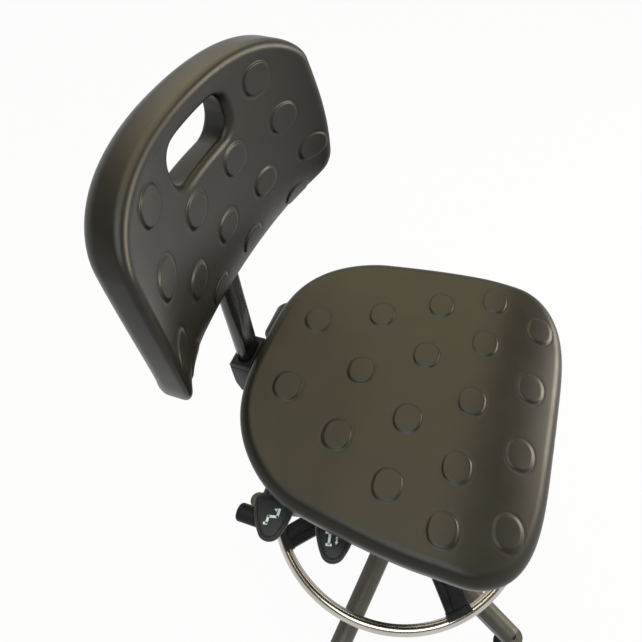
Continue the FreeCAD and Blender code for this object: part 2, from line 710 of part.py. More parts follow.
def loft_stations(start, end, edge, insets, middle_count):
    """Where a cushion's sections lie, and how far each is inside the round of its end."""
    stations = [(start + edge * share, min(edge, edge * share)) for share in insets]
    margin = edge * insets[-1]
    for step in range(1, middle_count + 1):
        share = step / (middle_count + 1)
        stations.append((start + margin + (end - start - margin * 2) * share, edge))
    stations += [(end - edge * share, min(edge, edge * share)) for share in reversed(insets)]
    return stations


def raise_dots(name, cushion, posts, y="0", z="0"):
    """Add the raised dots: what the posts cut out of the cushion when it is moved a little outwards."""
    moved = doc.addObject("Part::Feature", name + "_moved")
    moved.Shape = cushion.Shape.copy()
    place(moved, y=y, z=z)
    dots = doc.addObject("Part::MultiCommon", name + "_dots")
    dots.Shapes = [moved, fuse(name + "_posts", posts)]
    return fuse(name + "_dotted", [cushion, dots])


def build_seat():
    stations = loft_stations(-size("seat_front"), size("seat_rear"), size("seat_edge"),
                             SEAT_INSETS, SEAT_MIDDLE_SECTIONS)
    wires = [seat_section(y, inset) for y, inset in stations]
    cushion = solid_feature("seat_cushion_blank", Part.makeLoft(wires, True, False))
    posts = []
    for number, (row, across) in enumerate(SEAT_DOTS, start=1):
        for index, reach in enumerate(across, start=1):
            posts.append(cylinder("seat_dot_%d_%d" % (number, index), "dot_size / 2", "seat_thickness * 2",
                                  x="seat_width * %g" % reach, y=row, z="underside + seat_thickness / 2"))
    dotted = raise_dots("seat_cushion", cushion, posts, z="dot_rise")
    below = box("seat_underside_cut", "seat_width * 2", "seat_width * 2", "seat_thickness",
                x="-seat_width", y="-seat_width", z="underside - seat_thickness")
    keep(cut("seat_cushion_flat", dotted, below), "seat_cushion")

    board = new_body("seat_board_blank")
    side = "seat_width / 2 - board_inset"
    front = "seat_front - board_inset"
    board_corners = (
        ("-(%s - board_corner)" % side, "-(%s)" % front),
        ("%s - board_corner" % side, "-(%s)" % front, "board_corner_radius"),
        (side, "-(%s - board_corner)" % front),
        ("%s - board_waist" % side, "seat_rise_start", "board_side_radius"),
        ("board_tail", "board_rear"),
        ("-board_tail", "board_rear", "board_side_radius"),
        ("-(%s - board_waist)" % side, "seat_rise_start"),
        ("-(%s)" % side, "-(%s - board_corner)" % front, "board_corner_radius"),
    )
    board_sketch = add_profile(board, "board_outline", "XY_Plane", board_corners,
                               "underside - board_thickness")
    pad(board, "board_pad", board_sketch, "board_thickness")
    board_holes = bolt_pattern("board_bolt_hole", "bolt_radius", "pan_top",
                               "board_thickness + plate_thickness + overcut")
    keep(cut("seat_board_drilled", board, board_holes), "seat_board")

    plate = box("seat_plate_blank", "plate_width", "plate_length", "plate_thickness",
                x="-plate_width / 2", y="-plate_length / 2", z="pan_top")
    rounded = rounded_box("seat_plate_rounded", plate, "Z", "plate_corner")
    plate_holes = bolt_pattern("plate_bolt_hole", "bolt_radius", "pan_top - overcut",
                               "plate_thickness + overcut * 2")
    keep(cut("seat_plate_drilled", rounded, plate_holes), "seat_plate")

    shanks = bolt_pattern("seat_bolt_shank", "bolt_radius", "pan_top", "plate_thickness + board_thickness")
    heads = bolt_pattern("seat_bolt_head", "bolt_head", "pan_top - bolt_head_height", "bolt_head_height")
    keep(fuse("seat_bolt_set", [shanks, heads]), "seat_bolts")


def bolt_pattern(name, radius, level, height):
    """Four upright cylinders at the seat's bolt places."""
    pieces = []
    for index, (side_x, side_y) in enumerate(((1, 1), (1, -1), (-1, 1), (-1, -1)), start=1):
        pieces.append(cylinder("%s_%d" % (name, index), radius, height,
                               x="bolt_spread_x * %d" % side_x, y="bolt_spread_y * %d" % side_y, z=level))
    return fuse(name + "s", pieces)


def build_mechanism():
    pan = new_body("mechanism_pan_pressing")
    pan_corners = (
        ("-pan_front", "pan_top"),
        ("-pan_front", "pan_top - pan_height * 0.45"),
        ("-pan_front + pan_height * 0.6", "pan_bottom"),
        ("pan_rear * 0.55", "pan_bottom"),
        ("pan_rear", "pan_bottom + pan_wall"),
        ("pan_rear", "pan_top"),
    )
    pad(pan, "pan_block", add_profile(pan, "pan_side", "YZ_Plane", pan_corners), "pan_width", True)
    doc.recompute()
    hollow_corners = (
        ("-pan_front + pan_wall", "pan_top - pan_wall"),
        ("-pan_front + pan_wall", "pan_top - pan_height * 0.45 + pan_wall"),
        ("-pan_front + pan_height * 0.6 + pan_wall", "pan_bottom + pan_wall"),
        ("pan_rear * 0.55", "pan_bottom + pan_wall"),
        ("pan_rear * 0.55 + overcut", "pan_bottom - overcut"),
        ("pan_rear + overcut", "pan_bottom - overcut"),
        ("pan_rear + overcut", "pan_top - pan_wall"),
    )
    hollow_sketch = add_profile(pan, "pan_hollow_side", "YZ_Plane", hollow_corners)
    hollow = pan.newObject("PartDesign::Pocket", "pan_hollow")
    hollow.Profile = hollow_sketch
    bind(hollow, Length="pan_width - pan_wall * 2")
    hollow.SideType = "Symmetric"
    pan.Tip = hollow
    tools = [cylinder("pan_column_hole", "socket_radius", "pan_height + overcut * 2",
                      z="pan_bottom - overcut")]
    tools.append(cylinder("pan_axle_hole", "axle_radius", "pan_width + overcut * 2",
                          x="-pan_width / 2 - overcut", y="axle_reach", z="axle_level",
                          axis=(0, 1, 0), turn=90))
    # holes in the near wall that carry the lever rods, two of them wide enough to rock in
    for name, lever_place, level, gap in (("lift", "lift_lever_place", "lever_level", "rocking_gap"),
                                          ("back", "back_lever_place", "lever_level", "rocking_gap"),
                                          ("tilt", "tilt_lever_place", "tilt_lever_level", "running_gap")):
        tools.append(cylinder("pan_%s_hole" % name, "lever_rod_radius + " + gap, "pan_wall + overcut * 2",
                              x="-pan_width / 2 - overcut", y=lever_place, z=level, axis=(0, 1, 0), turn=90))
    keep(cut("mechanism_pan_holed", pan, fuse("pan_holes", tools)), "mechanism_pan")

    lower_bore = "cylinder_radius - taper_drop * (taper_length - socket_height) / taper_length"
    socket_corners = (
        (lower_bore, "cylinder_top - socket_height"),
        ("socket_radius", "cylinder_top - socket_height"),
        ("socket_radius", "cylinder_top"),
        ("cylinder_radius - taper_drop", "cylinder_top"),
    )
    keep(turned_body("taper_socket", socket_corners), "taper_socket")

    axle = cylinder("pivot_axle_rod", "axle_radius", "pan_width + axle_end * 2",
                    x="-pan_width / 2 - axle_end",
                    y="axle_reach", z="axle_level", axis=(0, 1, 0), turn=90)
    keep(axle, "pivot_axle")


# Levers: bent rods with paddle handles

def paddle_outline(owner, name, level, inset):
    """A rounded triangle: a straight-ish root edge, two bowed sides and a blunt nose."""
    half = "paddle_width / 2 - %s" % inset
    nose = "paddle_nose - %s * 0.4" % inset
    root = "-(paddle_root + %s)" % inset
    tip = "-(paddle_root + paddle_length - %s)" % inset
    corners = (
        (root + " - paddle_corner", half, "paddle_bulge"),
        (tip + " + paddle_tip", nose, "paddle_nose * 1.25"),
        (tip + " + paddle_tip", "-(%s)" % nose, "paddle_bulge"),
        (root + " - paddle_corner", "-(%s)" % half, "paddle_corner_radius"),
        (root, "-(%s) + paddle_corner" % half, "paddle_bulge"),
        (root, "(%s) - paddle_corner" % half, "paddle_corner_radius"),
    )
    return add_profile(owner, name, "XY_Plane", corners, level)


def build_paddle(label, lever_place):
    paddle = new_body(label + "_blade")
    blade = pad(paddle, label + "_pad", paddle_outline(paddle, label + "_outline", "lever_level", "0"),
                "paddle_thickness")
    doc.recompute()
    groove = paddle.newObject("PartDesign::Pocket", label + "_panel")
    groove.Profile = paddle_outline(paddle, label + "_panel_outline",
                                    "lever_level + paddle_thickness", "paddle_panel")
    bind(groove, Length="paddle_groove")
    paddle.Tip = groove
    # the blade is swept forwards about the middle of its root
    sweep = "(paddle_sweep * 1 deg)"
    shift_x = "paddle_root * (cos(%s) - 1)" % sweep
    shift_y = "%s + paddle_root * sin(%s)" % (lever_place, sweep)
    place(paddle, x=shift_x, y=shift_y, axis=(0, 0, 1), turn=size("paddle_sweep"))
    bind(paddle, Placement__Rotation__Angle="paddle_sweep")
    boss = cylinder(label + "_boss", "paddle_boss", "paddle_length * 0.7",
                    x="-(paddle_root + paddle_length * 0.6)", y=lever_place, z="lever_level",
                    axis=(0, 1, 0), turn=90)
    bore = cylinder(label + "_bore", "lever_rod_radius", "paddle_length", x="-lever_end",
                    y=lever_place, z="lever_level", axis=(0, 1, 0), turn=90)
    keep(cut(label + "_bored", fuse(label + "_joined", [paddle, boss]), bore), label)


def cross_pin(name, lever_place):
    """The pin through a lever rod, just inside the pan's wall, that the lever rocks on."""
    return cylinder(name + "_cross_pin", "cross_pin_radius", "cross_pin_length", x="-lever_pivot",
                    y=lever_place + " + cross_pin_length / 2", z="lever_level", axis=(1, 0, 0), turn=90)


def build_levers():
    lift_rod = cylinder("lift_rod_bar", "lever_rod_radius", "lever_end - tongue_width / 2", x="-lever_end",
                        y="lift_lever_place", z="lever_level", axis=(0, 1, 0), turn=90)
    tongue = box("lift_tongue", "tongue_width", "lift_lever_place + tongue_width / 2 + lever_rod_radius",
                 "tongue_thickness", x="-tongue_width", y="-tongue_width / 2",
                 z="pin_top + free_gap")
    lift_neck = box("lift_neck", "tongue_width * 2", "lever_rod_radius * 2",
                    "pin_top + free_gap + tongue_thickness - lever_level",
                    x="-tongue_width * 2", y="lift_lever_place - lever_rod_radius", z="lever_level")
    lift_pin = cross_pin("lift", "lift_lever_place")
    keep(fuse("lift_rod_bent", [lift_rod, tongue, lift_neck, lift_pin]), "lift_rod")
    build_paddle("lift_paddle", "lift_lever_place")

    back_rod = cylinder("back_rod_bar", "lever_rod_radius", "lever_end - arm_width / 2 - rod_end_gap",
                        x="-lever_end", y="back_lever_place", z="lever_level", axis=(0, 1, 0), turn=90)
    keep(fuse("back_rod_pinned", [back_rod, cross_pin("back", "back_lever_place")]), "back_rod")
    build_paddle("back_paddle", "back_lever_place")

    tilt_rod = cylinder("tilt_rod_bar", "lever_rod_radius", "tilt_lever_reach - arm_width / 2 - rod_end_gap",
                        x="-tilt_lever_reach", y="tilt_lever_place", z="tilt_lever_level",
                        axis=(0, 1, 0), turn=90)
    keep(tilt_rod, "tilt_rod")

    grip = new_body("tilt_grip_bar")
    end = "grip_length / 2"
    grip_corners = (
        ("0", "-(%s)" % end),
        ("grip_radius - grip_round", "-(%s)" % end, "grip_round"),
        ("grip_radius", "-(%s) + grip_round" % end),
        ("grip_radius", "%s - grip_round" % end, "grip_round"),
        ("grip_radius - grip_round", end),
        ("0", end),
    )
    revolve(grip, "tilt_grip_turned", add_profile(grip, "tilt_grip_profile", "XZ_Plane", grip_corners))
    place(grip, x="-tilt_lever_reach", y="tilt_lever_place + grip_offset", z="tilt_lever_level",
          axis=(1, 0, 0), turn=90)
    grip_bore = cylinder("tilt_grip_bore", "lever_rod_radius", "grip_radius * 2", x="-tilt_lever_reach",
                         y="tilt_lever_place", z="tilt_lever_level", axis=(0, 1, 0), turn=90)
    keep(cut("tilt_grip_bored", grip, grip_bore), "tilt_grip")


# Back carrier: an arm on the pivot axle, the socket box and its clamping knob

def build_carrier():
    arm = new_body("back_arm_bar")
    under = "axle_level - arm_thickness / 2"
    arm_corners = (
        ("axle_reach", under),
        ("box_front", under),
        ("box_front", "axle_level + arm_thickness / 2"),
        ("axle_reach", "axle_level + arm_thickness / 2"),
    )
    pad(arm, "arm_bar", add_profile(arm, "arm_side", "YZ_Plane", arm_corners), "arm_width", True)
    eye = cylinder("arm_eye_ring", "arm_eye", "arm_width", x="-arm_width / 2", y="axle_reach", z="axle_level",
                   axis=(0, 1, 0), turn=90)
    rib = box("arm_rib", "arm_thickness", "box_front - axle_reach - arm_eye", "arm_thickness * 1.5",
              x="-arm_thickness / 2", y="axle_reach + arm_eye", z="axle_level")
    eye_bore = cylinder("arm_eye_bore", "axle_radius + running_gap", "arm_width + overcut * 2",
                        x="-arm_width / 2 - overcut",
                        y="axle_reach", z="axle_level", axis=(0, 1, 0), turn=90)
    keep(cut("back_arm_bored", fuse("back_arm_joined", [arm, eye, rib]), eye_bore), "back_arm")

    carrier = new_body("stem_box_block")
    box_corners = (
        ("box_front", "box_bottom"),
        ("box_rear - box_chamfer", "box_bottom"),
        ("box_rear", "box_bottom + box_heel"),
        ("box_rear", "box_top - box_chamfer"),
        ("box_rear - box_rear_chamfer", "box_top - box_rear_chamfer / 4"),
        ("box_front + box_step + box_chamfer", "box_top"),
        ("box_front + box_step", "box_top - box_chamfer"),
        ("box_front", "box_top - box_step"),
    )
    pad(carrier, "stem_box_pad", add_profile(carrier, "stem_box_side", "YZ_Plane", box_corners),
        "box_width", True)
    passage = stem_bar("stem_passage", "stem_width + stem_fit * 2", "stem_depth + stem_fit * 2",
                       "box_bottom - overcut", "box_rise + box_drop + overcut * 2")
    screw_hole = cylinder("knob_screw_hole", "knob_screw_radius + free_gap", "box_width + overcut * 2",
                          x="-box_width / 2 - overcut", y="knob_place", z="knob_level", axis=(0, 1, 0), turn=90)
    keep(cut("stem_box_open", carrier, fuse("stem_box_tools", [passage, screw_hole])), "stem_box")

    knob = new_body("height_knob")
    start = "-box_width / 2"
    seat_face = "box_width / 2 + knob_screw_length"
    knob_corners = (
        ("0", start),
        ("knob_screw_radius", start),
        ("knob_screw_radius", seat_face),
        ("knob_radius * 0.5", seat_face),
        ("knob_radius", seat_face + " + knob_length * 0.2"),
        ("knob_radius", seat_face + " + knob_length * 0.8", "knob_radius"),
        ("knob_radius * 0.5", seat_face + " + knob_length"),
        ("0", seat_face + " + knob_length"),
    )
    revolve(knob, "height_knob_turned", add_profile(knob, "height_knob_profile", "XZ_Plane", knob_corners))
    place(knob, y="knob_place", z="knob_level", axis=(0, 1, 0), turn=90)
    keep(knob, "height_knob")


def stem_bar(name, width, depth, bottom, height):
    """A flat-oval upright bar: a box with a half-round on each side."""
    flat = box(name + "_flat", "(%s) - (%s)" % (width, depth), depth, height,
               x="-((%s) - (%s)) / 2" % (width, depth), y="stem_place - (%s) / 2" % depth, z=bottom)
    rounds = []
    for label, side in (("left", 1), ("right", -1)):
        rounds.append(cylinder("%s_%s" % (name, label), "(%s) / 2" % depth, height,
                               x="%d * ((%s) - (%s)) / 2" % (side, width, depth), y="stem_place", z=bottom))
    return fuse(name, [flat] + rounds)


# Backrest: cushion with its hand slot, stem, plate, bolts and plug

def back_half_width(z):
    level = size("back_lumbar_level")
    upper = max(0.0, (z - level) / (size("back_top") - level))
    lower = max(0.0, (level - z) / (level - size("back_bottom")))
    half = size("back_width") / 2
    half -= size("back_side_taper") * upper ** 2 + size("back_lower_taper") * lower ** 2
    shoulder = max(0.0, 1.0 - (size("back_top") - z) / size("back_shoulder"))
    skirt = max(0.0, 1.0 - (z - size("back_bottom")) / size("back_skirt"))
    half *= (1.0 - shoulder ** 2) ** (1.0 / SHOULDER_POWER)
    return half * (1.0 - skirt ** 2) ** (1.0 / SKIRT_POWER)


def back_face_depth(z):
    """Place of the front face in the middle: a lumbar swell that falls back above and below."""
    level = size("back_lumbar_level")
    if z > level:
        share = (z - level) / (size("back_top") - level)
        curl = size("back_top_curl") * share ** CURL_POWER
        return size("back_face") + size("back_top_sweep") * share ** 2 - curl
    share = (level - z) / (level - size("back_bottom"))
    return size("back_face") + size("back_bottom_sweep") * share ** 2


def back_section(z, inset):
    """One level section: two arcs round the sitter's back joined by rounded ends."""
    edge = size("back_edge")
    fall = ellipse_fall(edge - inset, edge, edge * 0.8)
    half = back_half_width(z)
    front = back_face_depth(z) + fall
    rear = back_face_depth(z) + size("back_thickness") - fall
    corner = min(edge, (rear - front) * 0.45)
    bend = corner * (1.0 - math.sqrt(0.5))
    inner = half - corner
    lumbar = size("back_lumbar_level")
    lower = max(0.0, (lumbar - z) / (lumbar - size("back_bottom")))

    def at(x, y):
        share = 2.0 * abs(x) / size("back_width")
        wrap = size("back_curve") - math.sqrt(size("back_curve") ** 2 - x * x)
        curl = size("back_curl") * share ** CURL_POWER
        sweep = size("back_corner_sweep") * (lower * share) ** 2
        return Vector(x, y - wrap - curl + sweep, z)

    return section_wire((
        ("arc", at(-inner, front), at(0, front), at(inner, front)),
        ("arc", at(inner, front), at(half - bend, front + bend), at(half, front + corner)),
        ("line", at(half, front + corner), at(half, rear - corner)),
        ("arc", at(half, rear - corner), at(half - bend, rear - bend), at(inner, rear)),
        ("arc", at(inner, rear), at(0, rear), at(-inner, rear)),
        ("arc", at(-inner, rear), at(-half + bend, rear - bend), at(-half, rear - corner)),
        ("line", at(-half, rear - corner), at(-half, front + corner)),
        ("arc", at(-half, front + corner), at(-half + bend, front + bend), at(-inner, front)),
    ))


def rounded_box(name, block, axis, corner):
    """A box with its four edges along one axis rounded."""
    rounded = doc.addObject("Part::Fillet", name)
    rounded.Base = block
    doc.recompute()
    radius = size(corner)
    lines = enumerate(block.Shape.Edges, start=1)
    rounded.Edges = [(index, radius, radius) for index, line in lines
                     if abs(getattr(line.BoundBox, axis + "Length") - line.Length) < 1e-6]
    return rounded


def build_backrest():
    stations = loft_stations(size("back_bottom"), size("back_top"), size("back_edge"),
                             BACK_INSETS, BACK_MIDDLE_SECTIONS)
    wires = [back_section(z, inset) for z, inset in stations]
    blank = solid_feature("back_cushion_blank", Part.makeLoft(wires, True, False))

    posts = []
    for number, (row, across) in enumerate(BACK_DOTS, start=1):
        for index, reach in enumerate(across, start=1):
            posts.append(cylinder("back_dot_%d_%d" % (number, index), "dot_size / 2", "back_thickness * 3",
                                  x="back_width * %g" % reach, y="back_face + back_thickness / 4", z=row,
                                  axis=(1, 0, 0), turn=90))
    dotted = raise_dots("back_cushion", blank, posts, y="-dot_rise")

    slot_block = box("hand_slot_block", "slot_length", "back_thickness * 4", "slot_height",
                     x="-slot_length / 2", y="back_face - back_thickness", z="slot_level - slot_height / 2")
    hand_slot = rounded_box("hand_slot", slot_block, "Y", "slot_corner")
    stem_groove = stem_bar("stem_groove", "stem_width", "stem_depth", "stem_way_bottom",
                           "stem_top - stem_way_bottom")
    rear_way = box("stem_rear_way", "stem_width", "back_thickness * 2", "stem_top - stem_way_bottom",
                   x="-stem_width / 2", y="stem_place", z="stem_way_bottom")
    plate_bed = box("back_plate_bed", "back_plate_width", "back_plate_thickness", "back_plate_height",
                    x="-back_plate_width / 2", y="stem_place - stem_depth / 2 - back_plate_thickness",
                    z="back_plate_bottom")
    plate_way = box("back_plate_way", "back_plate_width", "back_thickness * 2", "back_plate_height",
                    x="-back_plate_width / 2", y="stem_place - stem_depth / 2", z="back_plate_bottom")
    tools = fuse("back_cushion_tools", [hand_slot, stem_groove, rear_way, plate_bed, plate_way])
    keep(cut("back_cushion_cut", dotted, tools), "back_cushion")

    outer = stem_bar("stem_outer", "stem_width", "stem_depth", "stem_bottom", "stem_top - stem_bottom")
    hollow = stem_bar("stem_hollow", "stem_width - stem_wall * 2", "stem_depth - stem_wall * 2",
                      "stem_bottom - overcut", "stem_top - stem_bottom + overcut * 2")
    bolt_ways = back_bolt_pair("back_bolt_way", "bolt_radius", "stem_depth + overcut * 2",
                               "stem_depth / 2 + overcut")
    keep(cut("stem_drilled", cut("stem_tube", outer, hollow), bolt_ways), "back_stem")

    plug_flange = stem_bar("plug_flange", "stem_width", "stem_depth", "stem_bottom - plug_height / 2",
                           "plug_height / 2")
    plug_core = stem_bar("plug_core", "stem_width - stem_wall * 2", "stem_depth - stem_wall * 2",
                         "stem_bottom - plug_height / 4", "plug_height * 2")
    keep(fuse("stem_plug_joined", [plug_flange, plug_core]), "stem_plug")

    plate = box("back_plate_blank", "back_plate_width", "back_plate_thickness", "back_plate_height",
                x="-back_plate_width / 2", y="stem_place - stem_depth / 2 - back_plate_thickness",
                z="back_plate_bottom")
    plate_ways = back_bolt_pair("back_plate_bolt_way", "bolt_radius", "stem_depth * 2", "stem_depth")
    keep(cut("back_plate_drilled", plate, plate_ways), "back_plate")

    shanks = back_bolt_pair("back_bolt_shank", "bolt_radius", "stem_depth + back_plate_thickness",
                            "stem_depth / 2")
    heads = back_bolt_pair("back_bolt_head", "bolt_head", "bolt_head_height",
                           "stem_depth / 2 + bolt_head_height")
    keep(fuse("back_bolt_set", [shanks, heads]), "back_bolts")


def back_bolt_pair(name, radius, length, reach):
    """Two level cylinders through the stem; reach is how far they start behind its middle."""
    pieces = []
    for label, side in (("upper", 1), ("lower", -1)):
        pieces.append(cylinder("%s_%s" % (name, label), radius, length, x="0", y="stem_place + %s" % reach,
                               z="back_plate_bottom + back_plate_height / 2 + %d * back_bolt_spread / 2" % side,
                               axis=(1, 0, 0), turn=90))
    return fuse(name + "s", pieces)


def write_parts():
    doc.recompute()
    for item in doc.Objects:
        if "Invalid" in item.State or "Error" in item.State:
            raise RuntimeError("%s failed: %s" % (item.Name, item.State))
    for item in NODES:
        shape = item.Shape
        if shape.isNull() or not shape.isValid():
            raise RuntimeError("bad shape in " + item.Label)
    os.makedirs("parts", exist_ok=True)
    for item in NODES:
        item.Shape.exportStep("parts/%s.step" % item.Label)
        shape = item.Shape
        print("%-18s solids %d volume %.0f" % (item.Label, len(shape.Solids), shape.Volume))


build_base()
build_glides()
build_column()
build_foot_ring()
build_seat()
build_mechanism()
build_levers()
build_carrier()
build_backrest()
write_parts()
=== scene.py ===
import json
import math

import bmesh
import bpy
import numpy as np
from mathutils import Matrix, Vector


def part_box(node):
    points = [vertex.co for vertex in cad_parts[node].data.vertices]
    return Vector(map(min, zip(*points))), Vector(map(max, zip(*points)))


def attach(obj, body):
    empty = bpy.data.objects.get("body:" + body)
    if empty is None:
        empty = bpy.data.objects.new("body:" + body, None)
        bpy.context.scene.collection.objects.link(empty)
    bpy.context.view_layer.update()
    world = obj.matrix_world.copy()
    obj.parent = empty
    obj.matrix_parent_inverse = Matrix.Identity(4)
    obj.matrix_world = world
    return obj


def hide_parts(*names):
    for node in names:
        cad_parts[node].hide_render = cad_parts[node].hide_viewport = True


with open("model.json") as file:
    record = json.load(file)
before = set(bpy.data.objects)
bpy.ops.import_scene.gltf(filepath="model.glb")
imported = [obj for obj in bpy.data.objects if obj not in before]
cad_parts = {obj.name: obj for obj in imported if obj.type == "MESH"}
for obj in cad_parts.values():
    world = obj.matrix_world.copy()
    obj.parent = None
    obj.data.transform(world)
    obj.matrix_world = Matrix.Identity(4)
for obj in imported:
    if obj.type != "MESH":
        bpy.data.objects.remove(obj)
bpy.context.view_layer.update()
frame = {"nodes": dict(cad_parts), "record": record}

NODES = frame["nodes"]
BODIES = frame["record"]["behaviour"]["bodies"]
BODY_OF = {node: body for body, members in BODIES.items() for node in members}
SLOT_OF = {row["node"]: row["material_slot"] for row in frame["record"]["subparts"]}

# Seat cushion, in metres, as the solid model has it
SEAT_HALF_WIDTH = 0.219
SEAT_FRONT = -0.197
SEAT_REAR = 0.216
SEAT_TOP = 0.679
SEAT_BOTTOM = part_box("seat_cushion")[0].z
SEAT_CENTRE = (0.0, 0.02)
SEAT_FRONT_DROP = 0.030
SEAT_ROLL_START = SEAT_FRONT * 0.31
SEAT_REAR_RISE = 0.022
SEAT_RISE_START = SEAT_REAR * 0.36
SEAT_DISH = 0.004
SEAT_CORNER_LENGTH = 0.088
SEAT_CORNER_POWER = 4.3
SEAT_TAIL_LENGTH = 0.126
SEAT_TAIL_POWER = 3.2
SEAT_SIDE_TAPER = 0.044
SEAT_TAPER_START = SEAT_FRONT * 0.32
SEAT_TAPER_POWER = 1.5
SEAT_EDGE = (0.016, 0.016)
SEAT_FOOT = 0.016
BOARD_INSET = 0.034

# Backrest cushion, with the hand slot near its top
BACK_HALF_WIDTH = 0.190
BACK_BOTTOM = 0.804
BACK_TOP = 1.064
BACK_FACE = 0.225
BACK_THICKNESS = 0.040
BACK_CURVE = 0.420
BACK_CURL = 0.010
BACK_CURL_POWER = 8
BACK_LUMBAR = 0.885
BACK_SIDE_TAPER = 0.024
BACK_LOWER_TAPER = 0.032
BACK_SHOULDER = 0.052
BACK_SKIRT = 0.058
SHOULDER_POWER = 3.2
SKIRT_POWER = 3.1
BACK_TOP_SWEEP = 0.016
BACK_TOP_CURL = 0.014
BACK_BOTTOM_SWEEP = 0.014
BACK_CORNER_SWEEP = 0.026
BACK_EDGE = 0.012
SLOT_LEVEL = 1.013
SLOT_HALF_LENGTH = 0.0525
SLOT_HALF_HEIGHT = 0.023
SLOT_CORNER = 0.019
SLOT_FLARE = 0.009
SLOT_ROUND = 0.009
SLOT_RIM = 0.008

# Raised dots: half sizes across and along, then rows of (place of the row, places across it)
SEAT_DOT = (0.0202, 0.0172)
BACK_DOT = (0.0190, 0.0158)
DOT_SQUARENESS = 2.25
DOT_RISE = 0.0015
DOT_RIM_FOOT = 0.0010
DOT_RIM_WIDTH = 0.0023
DOT_LINE_DEPTH = 0.00025
DOT_LINE_PLACE = 0.0022
DOT_LINE_WIDTH = 0.0012
SEAT_DOTS = (
    (-0.151, (-0.148, -0.0495, 0.0495, 0.148)),
    (-0.0785, (-0.172, -0.095, 0.0, 0.095, 0.172)),
    (-0.0045, (-0.1415, -0.0505, 0.0505, 0.1415)),
    (0.0742, (-0.099, 0.0, 0.099)),
    (0.1577, (-0.057, 0.057)),
)
BACK_DOTS = (
    (1.022, (-0.102, 0.102)),
    (0.963, (-0.127, -0.0415, 0.0415, 0.127)),
    (0.905, (-0.161, -0.0805, 0.0, 0.0805, 0.161)),
    (0.8443, (-0.137, -0.042, 0.042, 0.137)),
)

# Lever paddles: blades on the ends of two lever rods, and the sleeve on the third lever's rod
LEVER_LEVEL = 0.603
PADDLE_ROOT = 0.172
PADDLE_LENGTH = 0.0585
PADDLE_SHOULDER = 0.008
PADDLE_HALF_WIDTH = 0.027
PADDLE_NOSE = 0.013
PADDLE_NOSE_RADIUS = PADDLE_NOSE * 1.25
PADDLE_NOSE_RISE = 0.007
PADDLE_BULGE = 0.095
PADDLE_CORNER = 0.010
PADDLE_BOSS = 0.008
PADDLE_SWEEP = math.radians(12)
PADDLE_PLACES = {"lift": 0.050, "back": 0.134}
TILT_SLEEVE_START = 0.002
TILT_SLEEVE_LENGTH = 0.060
TILT_SLEEVE_RADIUS = 0.0088
TILT_SLEEVE_ROUND = 0.0015
LEVER_SHARP_ANGLE = math.radians(50)

# Camera of the photograph: place, direction, focal length and where its axis meets the frame
FRAME_PIXELS = 642
CAMERA_PLACE = Vector((-0.3746, -0.0551, 1.3299))
CAMERA_AZIMUTH = -72.43
CAMERA_ELEVATION = 51.68
CAMERA_ROLL = 0.21
FOCAL_PIXELS = 555.1
AXIS_PIXEL = (369.2, 301.8)
SENSOR_WIDTH = 36.0


NOISE_ROUGHNESS = 0.55


class Shader:
    """A principled material and a few calls that wire procedural detail into it."""

    def __init__(self, name, metallic=0.0):
        self.material = bpy.data.materials.new(name)
        self.material.use_nodes = True
        self.nodes = self.material.node_tree.nodes
        self.links = self.material.node_tree.links
        self.shader = self.nodes["Principled BSDF"]
        self.shader.inputs["Metallic"].default_value = metallic
        self.place = self.nodes.new("ShaderNodeTexCoord").outputs["Object"]

    def set(self, **values):
        """Set plain socket values; an underscore in a name stands for a space."""
        for name, value in values.items():
            self.shader.inputs[name.replace("_", " ")].default_value = value

    def stretched(self, scale):
        mapping = self.nodes.new("ShaderNodeMapping")
        mapping.inputs["Scale"].default_value = scale
        self.links.new(self.place, mapping.inputs["Vector"])
        return mapping.outputs["Vector"]

    def noise(self, scale, detail, place=None):
        node = self.nodes.new("ShaderNodeTexNoise")
        node.inputs["Scale"].default_value = scale
        node.inputs["Detail"].default_value = detail
        node.inputs["Roughness"].default_value = NOISE_ROUGHNESS
        self.links.new(place or self.place, node.inputs["Vector"])
        return node.outputs["Fac"]

    def cells(self, scale):
        node = self.nodes.new("ShaderNodeTexVoronoi")
        node.feature = "SMOOTH_F1"
        node.inputs["Scale"].default_value = scale
        self.links.new(self.place, node.inputs["Vector"])
        return node.outputs["Distance"]

    def ramp(self, source, stops):
        node = self.nodes.new("ShaderNodeValToRGB")
        elements = node.color_ramp.elements
        while len(elements) < len(stops):
            elements.new(0.5)
        for element, (position, colour) in zip(elements, stops):
            element.position = position
            if isinstance(colour, tuple):
                element.color = (*colour, 1.0)
            else:
                element.color = (colour, colour, colour, 1.0)
        self.links.new(source, node.inputs["Fac"])
        return node.outputs["Color"]

    def colour(self, source):
        self.links.new(source, self.shader.inputs["Base Color"])

    def roughness(self, source):
        self.links.new(source, self.shader.inputs["Roughness"])

    def bump(self, *layers):
        """Stack bumps given as (height source, strength, depth in metres)."""
        normal = None
        for source, strength, depth in layers:
            node = self.nodes.new("ShaderNodeBump")
            node.inputs["Strength"].default_value = strength
            node.inputs["Distance"].default_value = depth
            self.links.new(source, node.inputs["Height"])
            if normal is not None:
                self.links.new(normal, node.inputs["Normal"])
            normal = node.outputs["Normal"]
        self.links.new(normal, self.shader.inputs["Normal"])


def skin_foam():
    """Self-skinned foam: nearly black, soft sheen, a fine pebbled skin and faint handling marks."""
    paint = Shader("skin_foam")
    cloud = paint.noise(9.0, 5.0)
    paint.colour(paint.ramp(cloud, ((0.3, (0.0090, 0.0079, 0.0050)), (0.7, (0.0112, 0.0099, 0.0063)))))
    paint.roughness(paint.ramp(paint.noise(26.0, 6.0), ((0.3, 0.33), (0.7, 0.40))))
    paint.bump((paint.cells(1400.0), 0.10, 0.0003), (paint.noise(420.0, 3.0), 0.06, 0.0005))
    paint.set(Specular_IOR_Level=0.30)
    return paint.material


